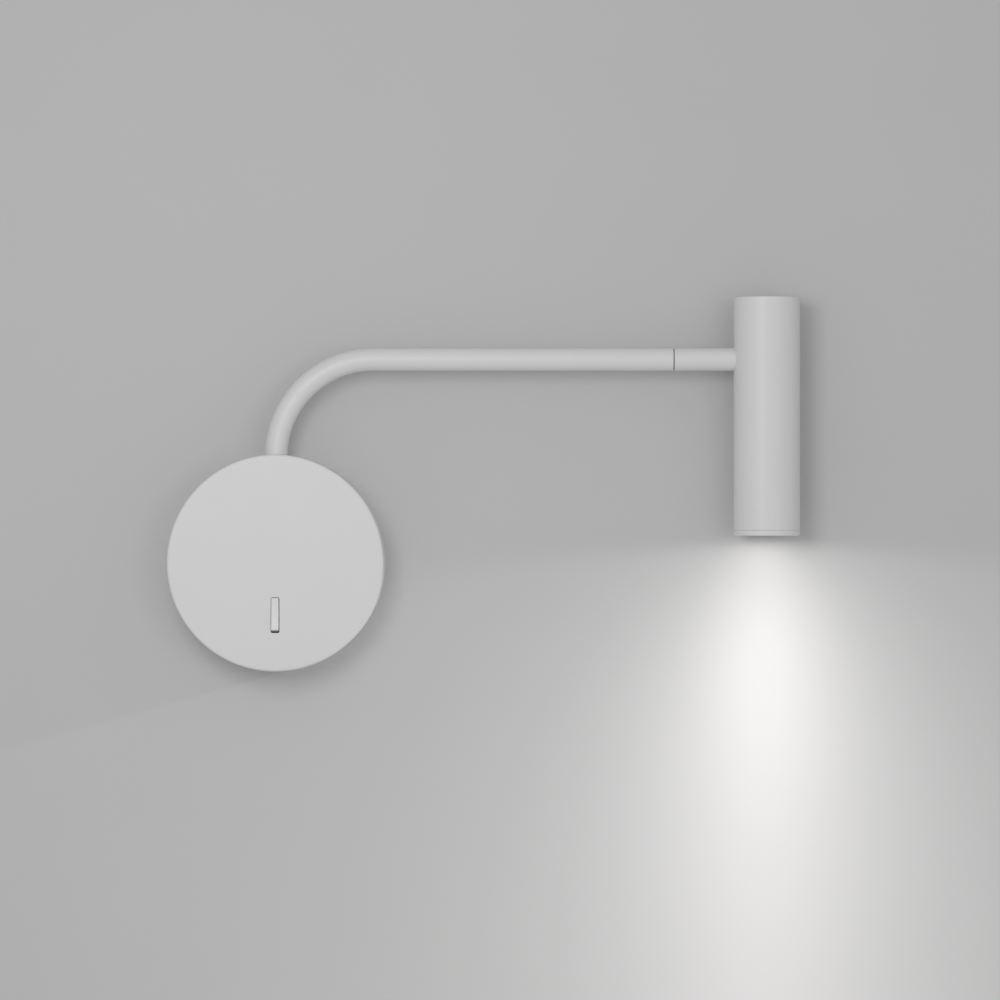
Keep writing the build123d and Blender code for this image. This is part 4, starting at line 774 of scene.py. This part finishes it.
def cover_profile():
    """The dish's section, from its front face round the rim to its inside."""
    radius, depth = BASE_RADIUS, BASE_DEPTH
    inside = radius - COVER_WALL
    floor = depth - COVER_WALL
    points = [(radius - COVER_EDGE - EDGE_MARGIN, depth)]
    points += arc((radius - COVER_EDGE, depth - COVER_EDGE), COVER_EDGE, 90, 0, 10)
    points += [(radius, depth - COVER_EDGE - EDGE_MARGIN), (radius, EDGE_MARGIN + BACK_EDGE)]
    points += arc((radius - BACK_EDGE, BACK_EDGE), BACK_EDGE, 0, -90, 4)
    points += [(inside, 0), (inside, floor - INSIDE_EDGE)]
    points += arc((inside - INSIDE_EDGE, floor - INSIDE_EDGE), INSIDE_EDGE, 0, 90, 5)
    return points


def cover_shell():
    """The dish with its bosses, the rocker's slot, the arm's hole and the holes for the side screws."""
    shell = in_scene("cover_shell", lathe(cover_profile(), OUT_OF_WALL, start=pi / AROUND))
    floor = BASE_DEPTH - COVER_WALL
    bosses = []
    for places, radius, end in BOSSES:
        boss = [(0, floor + PAST), (radius, floor + PAST), (radius, end + BOSS_EDGE)]
        boss += [(radius - BOSS_EDGE, end), (radius / 2, end)]
        boss += [(radius / 2, floor - BOSS_WEB), (0, floor - DRILL_POINT)]
        for x, y in places:
            bosses.append(lathe(boss, OUT_OF_WALL @ Matrix.Translation((x, y, 0)), 48))
    cut(shell, bosses, "UNION")
    above, below = BASE_DEPTH + SLOT_CHAMFER, BASE_DEPTH - SLOT_CHAMFER
    mouth = []
    for height, wider in ((above, 2 * SLOT_CHAMFER), (below, 0), (floor - PAST, 0)):
        width, length = SLOT_WIDTH + 2 * wider, SLOT_LENGTH + 2 * wider
        mouth.append((height, rounded_rectangle(width, length, SLOT_CORNER + wider, (0, SWITCH_Z))))
    outside = BASE_RADIUS + PAST
    arm_hole = [(0, ARM_HOLE_FROM), (ARM_HOLE, ARM_HOLE_FROM), (ARM_HOLE, outside), (0, outside)]
    cutters = [outline_prism(mouth, OUT_OF_WALL), lathe(arm_hole, UP_ARM, AROUND_TUBE)]
    side_hole = [(radius * MM, height * MM) for radius, height in SIDE_HOLE]
    for side in (-1, 1):
        place = Matrix.Translation((0, -SCREW_DEPTH, 0)) @ Matrix.Rotation(side * pi / 2, 4, "Y")
        cutters.append(lathe(side_hole, place, 64))
    cut(shell, cutters)
    stands_for(shell, "base_cover")


# ------------------------------------------------------------------ arm and stub

SEAM_EDGE = 0.3 * MM
BEND_STEPS = 72
COPE_GAP = 0.02 * MM
ACROSS_ARM = Vector((0, 1, 0))
RIGHTWARDS = Vector((1, 0, 0))


def ring_across(centre, radius):
    """A ring of points square to the arm's level run."""
    upright = RIGHTWARDS.cross(ACROSS_ARM)
    ring = []
    for step in range(AROUND_TUBE):
        angle = 2 * pi * step / AROUND_TUBE
        ring.append(centre + radius * (cos(angle) * ACROSS_ARM + sin(angle) * upright))
    return ring


def tube_tree(sizes, finish):
    """The skin of a tube along a line that turns its corner at the bend radius."""
    tree, size = growing_tree("bent_tube", sizes)
    line = node(tree, "GeometryNodeMeshToCurve", {0: size["Geometry"]})
    corner = {"Curve": line.outputs[0], "Count": size["Steps of bend"], "Radius": size["Bend radius"]}
    bent = node(tree, "GeometryNodeFilletCurve", corner, mode="POLY")
    around = {"Resolution": size["Steps round"], "Radius": size["Radius"]}
    ring = node(tree, "GeometryNodeCurvePrimitiveCircle", around)
    swept = {"Curve": bent.outputs[0], "Profile Curve": ring.outputs[0]}
    skinned = node(tree, "GeometryNodeCurveToMesh", swept)
    real = node(tree, "GeometryNodeRealizeInstances", {0: skinned.outputs[0]})
    done = node(tree, "GeometryNodeSetMaterial", {0: real.outputs[0], "Material": finish})
    node(tree, "NodeGroupOutput", {0: done.outputs[0]})
    return tree


def bent_tube():
    """The arm: a tube from its foot in the base round one bend and level to the seam."""
    sizes = {
        "Radius": TUBE_RADIUS,
        "Bend radius": BEND_RADIUS,
        "Steps of bend": BEND_STEPS,
        "Steps round": AROUND_TUBE,
    }
    route = [(0, 0, tube_low.z), (0, 0, RUN_HEIGHT), (tube_high.x, 0, RUN_HEIGHT)]
    tree = tube_tree(sizes, finishes[slot_of["arm_tube"]])
    tube = grown("bent_tube", tree, sizes, route, UP_ARM, joined=[(0, 1), (1, 2)])
    wall_of_tube = tube.modifiers.new("wall", "SOLIDIFY")
    wall_of_tube.thickness = TUBE_WALL
    wall_of_tube.offset = -1
    ends = tube.modifiers.new("ends", "BEVEL")
    ends.width = SEAM_EDGE
    ends.segments = 3
    ends.limit_method = "ANGLE"
    ends.angle_limit = radians(60)
    work_in(tube)
    stands_for(tube, "arm_tube")


def coped_stub():
    """The short tube behind the seam, its far end cut to the round of the head."""
    cope = HEAD_RADIUS + COPE_GAP

    def end_ring(radius):
        ring = []
        for point in ring_across(RUN_AXIS, radius):
            off_axis = point.y + ARM_DEPTH
            ring.append(Vector((HEAD_X - sqrt(cope**2 - off_axis**2), point.y, point.z)))
        return ring

    rings = []
    for turn in (90, 60, 30, 0):
        x = STUB_START + SEAM_EDGE * (1 - sin(radians(turn)))
        radius = TUBE_RADIUS - SEAM_EDGE * (1 - cos(radians(turn)))
        rings.append(ring_across(RUN_AXIS + Vector((x, 0, 0)), radius))
    rings += [end_ring(TUBE_RADIUS), end_ring(STUB_BORE)]
    rings.append(ring_across(RUN_AXIS + Vector((STUB_START, 0, 0)), STUB_BORE))
    stands_for(in_scene("coped_stub", skin(rings, closed=True)), "head_stub")


# ------------------------------------------------------------------ head

TOP_EDGE = 0.6 * MM
TOP_WALL = 2 * MM
BODY_SEAM = 0.35 * MM  # the rounding on each side of the seam between the body and the trim ring
BODY_MARGIN = 0.3 * MM
UPPER_BORE = 15.9 * MM
LOWER_BORE = 16.9 * MM
SHOULDER = 64 * MM
NIPPLE_HOLE = 5.02 * MM
NIPPLE_HOLE_FROM = 250 * MM
TRIM_EDGE = 0.9 * MM
LIGHT_MOUTH = 14.5 * MM
MOUTH_EDGE, MOUTH_RISE = 16.1 * MM, 0.25 * MM
LIP_MIDDLE, LIP_ROUND = 16.5 * MM, 0.3 * MM
SPIGOT = LOWER_BORE - 0.05 * MM
SPIGOT_BORE = 15.3 * MM


def head_shell():
    """The head's body: a closed top, two bores and the hole for the nipple in its side."""
    ceiling = HEAD_TOP - TOP_WALL
    points = [(0, HEAD_TOP), (HEAD_RADIUS - TOP_EDGE - BODY_MARGIN, HEAD_TOP)]
    points += arc((HEAD_RADIUS - TOP_EDGE, HEAD_TOP - TOP_EDGE), TOP_EDGE, 90, 0, 8)
    points.append((HEAD_RADIUS, HEAD_TOP - TOP_EDGE - BODY_MARGIN))
    points.append((HEAD_RADIUS, BODY_BOTTOM + BODY_SEAM + BODY_MARGIN))
    points += arc((HEAD_RADIUS - BODY_SEAM, BODY_BOTTOM + BODY_SEAM), BODY_SEAM, 0, -90, 4)
    points += [(LOWER_BORE, BODY_BOTTOM), (LOWER_BORE, SHOULDER), (UPPER_BORE, SHOULDER)]
    points += [(UPPER_BORE, ceiling), (0, ceiling)]
    shell = in_scene("head_shell", lathe(points, UP_HEAD))
    hole = [(0, NIPPLE_HOLE_FROM), (NIPPLE_HOLE, NIPPLE_HOLE_FROM), (NIPPLE_HOLE, HEAD_X), (0, HEAD_X)]
    cut(shell, [lathe(hole, ALONG_RUN, AROUND_TUBE)])
    stands_for(shell, "head_body")


def light_trim():
    """The screwed ring round the light, with its spigot inside the head."""
    points = [(LIGHT_MOUTH, GLASS_SEAT), (MOUTH_EDGE, HEAD_BOTTOM + MOUTH_RISE)]
    points += arc((LIP_MIDDLE, HEAD_BOTTOM + LIP_ROUND), LIP_ROUND, 200, 270, 4)
    points += arc((HEAD_RADIUS - TRIM_EDGE, HEAD_BOTTOM + TRIM_EDGE), TRIM_EDGE, 270, 360, 6)
    points += arc((HEAD_RADIUS - BODY_SEAM, BODY_BOTTOM - BODY_SEAM), BODY_SEAM, 0, 90, 4)
    points += [(SPIGOT, BODY_BOTTOM), (SPIGOT, trim_high.z)]
    points += [(SPIGOT_BORE, trim_high.z), (SPIGOT_BORE, GLASS_SEAT)]
    stands_for(in_scene("light_trim", lathe(points, UP_HEAD, closed=True)), "trim_ring")


# ------------------------------------------------------------------ rocker

ROCKER_TILT = 6
PIVOT_DEPTH = 28.7 * MM
ROCKER_HALF = 9 * MM
ROCKER_FRONT = 6.4 * MM
ROCKER_DISH = 0.25 * MM
ROCKER_WIDTH = 4.2 * MM
ROCKER_ASIDE = 0.1 * MM  # it sits a hair nearer the slot's left side
ROCKER_EDGE = 0.45 * MM
FACE_STEPS = 24
FACE_END = 4.6 * MM
LEDGE_OUT, LEDGE_TOP, LEDGE_FOOT = 0.4 * MM, 4 * MM, 2.6 * MM
NECK_HALF, NECK_END, NECK_LENGTH = 3 * MM, 2 * MM, 4.5 * MM
PIN_RADIUS, PIN_REACH = 1.2 * MM, 3.3 * MM
WELL_RADIUS, WELL_TOP, WELL_MOUTH = 1.12 * MM, 2 * MM, 8 * MM  # the plunger's


def rocker_cap():
    """The moulded rocker: a paddle with a barely dished face, a neck and its two pivot pins."""
    swell = (ROCKER_HALF**2 + ROCKER_DISH**2) / (2 * ROCKER_DISH)
    face = []
    for step in range(FACE_STEPS + 1):
        up = ROCKER_HALF - 2 * ROCKER_HALF * step / FACE_STEPS
        face.append((up, ROCKER_FRONT - ROCKER_DISH + swell - sqrt(swell**2 - up**2)))
    ledge = ROCKER_HALF + LEDGE_OUT
    back = [(-ROCKER_HALF, FACE_END), (-ledge, LEDGE_TOP), (-ledge, LEDGE_FOOT)]
    back += [(-NECK_HALF, 0), (-NECK_END, -NECK_LENGTH)]
    back += [(-x, y) for x, y in reversed(back)]
    outline = face + back
    tilt = radians(ROCKER_TILT)
    # own x is up the rocker, own y is away from the wall and own z is across it
    place = Matrix(
        (
            (0, 0, 1, -ROCKER_ASIDE),
            (sin(tilt), -cos(tilt), 0, -PIVOT_DEPTH),
            (cos(tilt), sin(tilt), 0, SWITCH_Z),
            (0, 0, 0, 1),
        )
    )
    half = ROCKER_WIDTH / 2
    cap = in_scene("rocker_cap", outline_prism([(-half, outline), (half, outline)], place))
    soften = cap.modifiers.new("soften", "BEVEL")
    soften.width = ROCKER_EDGE
    soften.segments = 4
    soften.limit_method = "ANGLE"
    soften.angle_limit = radians(50)
    work_in(cap)
    pin = [(0, -PIN_REACH), (PIN_RADIUS, -PIN_REACH), (PIN_RADIUS, PIN_REACH), (0, PIN_REACH)]
    cut(cap, [lathe(pin, place, 48)], "UNION")
    well = [(0, WELL_TOP), (WELL_RADIUS, WELL_TOP), (WELL_RADIUS, WELL_MOUTH), (0, WELL_MOUTH)]
    inwards = place @ Matrix.Rotation(pi / 2, 4, "X")
    cut(cap, [lathe(well, inwards, 32)])
    stands_for(cap, "rocker", 40)


# ------------------------------------------------------------------ wall, camera and light

WALL_HALF = 4.0
WALL_BEHIND = 0.4 * MM
WALL_NEAR = 3 * MM  # it lets through rays that start closer than this, such as those off the bracket's back
CAMERA_PLACE = (124.4 * MM, -2332 * MM, 34.9 * MM)
CAMERA_LENS = 149.6
LAMP_MIDDLE = (110 * MM, 0, 40 * MM)
SKY = 0.53
# the soft boxes: place, width and height in metres, and power in watts
SOFT_BOXES = {
    "window": ((-0.10, -0.924, 0.22), 0.32, 0.36, 2.1),
    "room": ((1.05, -2.3, 0.1), 1.0, 1.0, 4.0),
}
BEAM = 75.0
BEAM_DEPTH = 35 * MM  # a little in front of the head's axis
BEAM_BELOW, SPILL_BELOW = 1 * MM, 0.5 * MM  # the head's bottom
BEAM_ANGLES = range(0, 91, 2)
# the beam's spill and core: strength on the axis, and the degrees over which it fades to a third
SPILL, SPILL_FADE = 38.0, 26.0
CORE, CORE_FADE = 7.0, 6.0
EDGE_FADE = 11  # over its last degrees the beam dies away, so that it leaves no hard line on the wall
LENS_SPILL = 0.004  # what the lens scatters on the wall close by
LENS_MARGIN = 2 * MM


def wall():
    """A plain painted wall; nothing of it shows from behind, where the bracket can be seen."""
    mesh = bpy.data.meshes.new("wall")
    corners = [(x * WALL_HALF, WALL_BEHIND, z * WALL_HALF) for x, z in ((-1, -1), (1, -1), (1, 1), (-1, 1))]
    mesh.from_pydata(corners, [], [(0, 1, 2, 3)])
    material, tree, place = blank("wall_emulsion")
    film = node(tree, "ShaderNodeTexNoise", {"Vector": place, "Scale": per(60), "Detail": 3.0})
    shades = {MIX_FACTOR: film.outputs[FAC], MIX_DARK: linear("#C2C2C2"), MIX_LIGHT: linear("#C4C4C4")}
    colour = node(tree, "ShaderNodeMix", shades, data_type="RGBA")
    roller = node(tree, "ShaderNodeTexNoise", {"Vector": place, "Scale": per(2.5), "Detail": 3.0})
    raised = {"Height": roller.outputs[FAC], "Distance": 0.02 * MM, "Strength": 0.3}
    stipple = node(tree, "ShaderNodeBump", raised)
    paint = {
        "Base Color": colour.outputs[SHADE],
        "Normal": stipple.outputs[BUMPED],
        "Roughness": 0.9,
        "Specular IOR Level": 0.15,
    }
    shader = node(tree, "ShaderNodeBsdfPrincipled", paint)
    facing = node(tree, "ShaderNodeNewGeometry")
    ray = node(tree, "ShaderNodeLightPath")
    close = {0: ray.outputs["Ray Length"], 1: WALL_NEAR}
    near = node(tree, "ShaderNodeMath", close, operation="LESS_THAN")
    sides = {0: facing.outputs["Backfacing"], 1: near.outputs[0]}
    unseen = node(tree, "ShaderNodeMath", sides, operation="MAXIMUM")
    clear = node(tree, "ShaderNodeBsdfTransparent")
    sheet = {0: unseen.outputs[0], 1: shader.outputs["BSDF"], 2: clear.outputs["BSDF"]}
    mix = node(tree, "ShaderNodeMixShader", sheet)
    node(tree, "ShaderNodeOutputMaterial", {"Surface": mix.outputs["Shader"]})
    mesh.materials.append(material)
    in_scene("wall", mesh)


def camera():
    """Square on to the wall, right of the base and a little above its middle, from across the room."""
    data = bpy.data.cameras.new("camera")
    data.lens = CAMERA_LENS
    data.sensor_width = 36
    data.clip_start = 0.05
    data.clip_end = 50
    seat = in_scene("camera", data)
    seat.location = CAMERA_PLACE
    seat.rotation_euler = (radians(90), 0, 0)
    bpy.context.scene.camera = seat


def sky():
    """Even light all round, and a pale ground behind the lamp where the wall doesn't reach."""
    world = bpy.data.worlds.new("sky")
    world.use_nodes = True
    tree = world.node_tree
    tree.nodes.clear()
    lit = node(tree, "ShaderNodeBackground", {"Color": (1, 1, 1, 1), "Strength": SKY})
    seen = node(tree, "ShaderNodeBackground", {"Color": linear("#D9D9DA"), "Strength": 1.0})
    ray = node(tree, "ShaderNodeLightPath")
    gloss = {0: ray.outputs["Is Camera Ray"], 1: ray.outputs["Is Glossy Ray"]}
    mirrored = node(tree, "ShaderNodeMath", gloss, operation="MAXIMUM")
    through = {0: mirrored.outputs[0], 1: ray.outputs["Is Transmission Ray"]}
    shown = node(tree, "ShaderNodeMath", through, operation="MAXIMUM")
    mix = node(tree, "ShaderNodeMixShader", {0: shown.outputs[0], 1: lit.outputs[0], 2: seen.outputs[0]})
    node(tree, "ShaderNodeOutputWorld", {"Surface": mix.outputs[0]})
    bpy.context.scene.world = world


def soft_box(name, place, width, height, power):
    """A rectangular studio light turned to the lamp."""
    data = bpy.data.lights.new(name, "AREA")
    data.shape = "RECTANGLE"
    data.size = width
    data.size_y = height
    data.energy = power
    lamp = in_scene(name, data)
    lamp.location = place
    lamp.rotation_euler = (Vector(LAMP_MIDDLE) - Vector(place)).to_track_quat("-Z", "Y").to_euler()


def beam_profile():
    """The beam as a table of strength by angle off the axis: a wide spill round a bright core."""
    strengths = []
    for angle in BEAM_ANGLES:
        rest_of_way = min(1.0, (90 - angle) / EDGE_FADE)
        edge = rest_of_way**2 * (3 - 2 * rest_of_way)
        strengths.append(edge * (SPILL * exp(-angle / SPILL_FADE) + CORE * exp(-angle / CORE_FADE)))
    lines = ["IESNA:LM-63-1995", "TILT=NONE", f"1 -1 1 {len(strengths)} 1 1 2 0 0 0", "1 1 0"]
    lines += [" ".join(str(angle) for angle in BEAM_ANGLES), "0"]
    lines.append(" ".join(f"{strength:.4f}" for strength in strengths))
    table = bpy.data.texts.new("beam_profile")
    table.write("\n".join(lines) + "\n")
    return table


def reading_light():
    """The lamp's own light, just outside the glass, and the glow of its lens; both ride with the head.

    The beam keeps its strength with distance, as the pool on the wall does.
    """
    data = bpy.data.lights.new("reading_light", "POINT")
    data.energy = BEAM
    data.shadow_soft_size = 3 * MM
    data.color = (1.0, 0.975, 0.965)
    data.use_nodes = True
    tree = data.node_tree
    tree.nodes.clear()
    profile = node(tree, "ShaderNodeTexIES", {"Strength": 1.0}, mode="INTERNAL", ies=beam_profile())
    reach = node(tree, "ShaderNodeLightFalloff", {"Strength": profile.outputs[0]})
    beam = node(tree, "ShaderNodeEmission", {"Strength": reach.outputs["Constant"]})
    node(tree, "ShaderNodeOutputLight", {"Surface": beam.outputs["Emission"]})
    lamp = in_scene("reading_light", data)
    lamp.location = (HEAD_X, -BEAM_DEPTH, HEAD_BOTTOM - BEAM_BELOW)
    glow = bpy.data.lights.new("lens_spill", "AREA")
    glow.shape = "DISK"
    glow.size = size_of("front_glass").x - 2 * LENS_MARGIN
    glow.energy = LENS_SPILL
    disc = in_scene("lens_spill", glow)
    disc.location = (HEAD_X, -ARM_DEPTH, HEAD_BOTTOM - SPILL_BELOW)
    disc.visible_camera = False
    for light in (lamp, disc):
        light.parent = frame["bodies"][body_of["head_body"]]


# ------------------------------------------------------------------ the whole

cover_shell()
bent_tube()
coped_stub()
head_shell()
light_trim()
rocker_cap()
finned_sink()
for name in SCREWS:
    screws(name)

wall()
camera()
sky()
for name, box in SOFT_BOXES.items():
    soft_box(name, *box)
reading_light()

bpy.context.scene.view_settings.view_transform = "Standard"
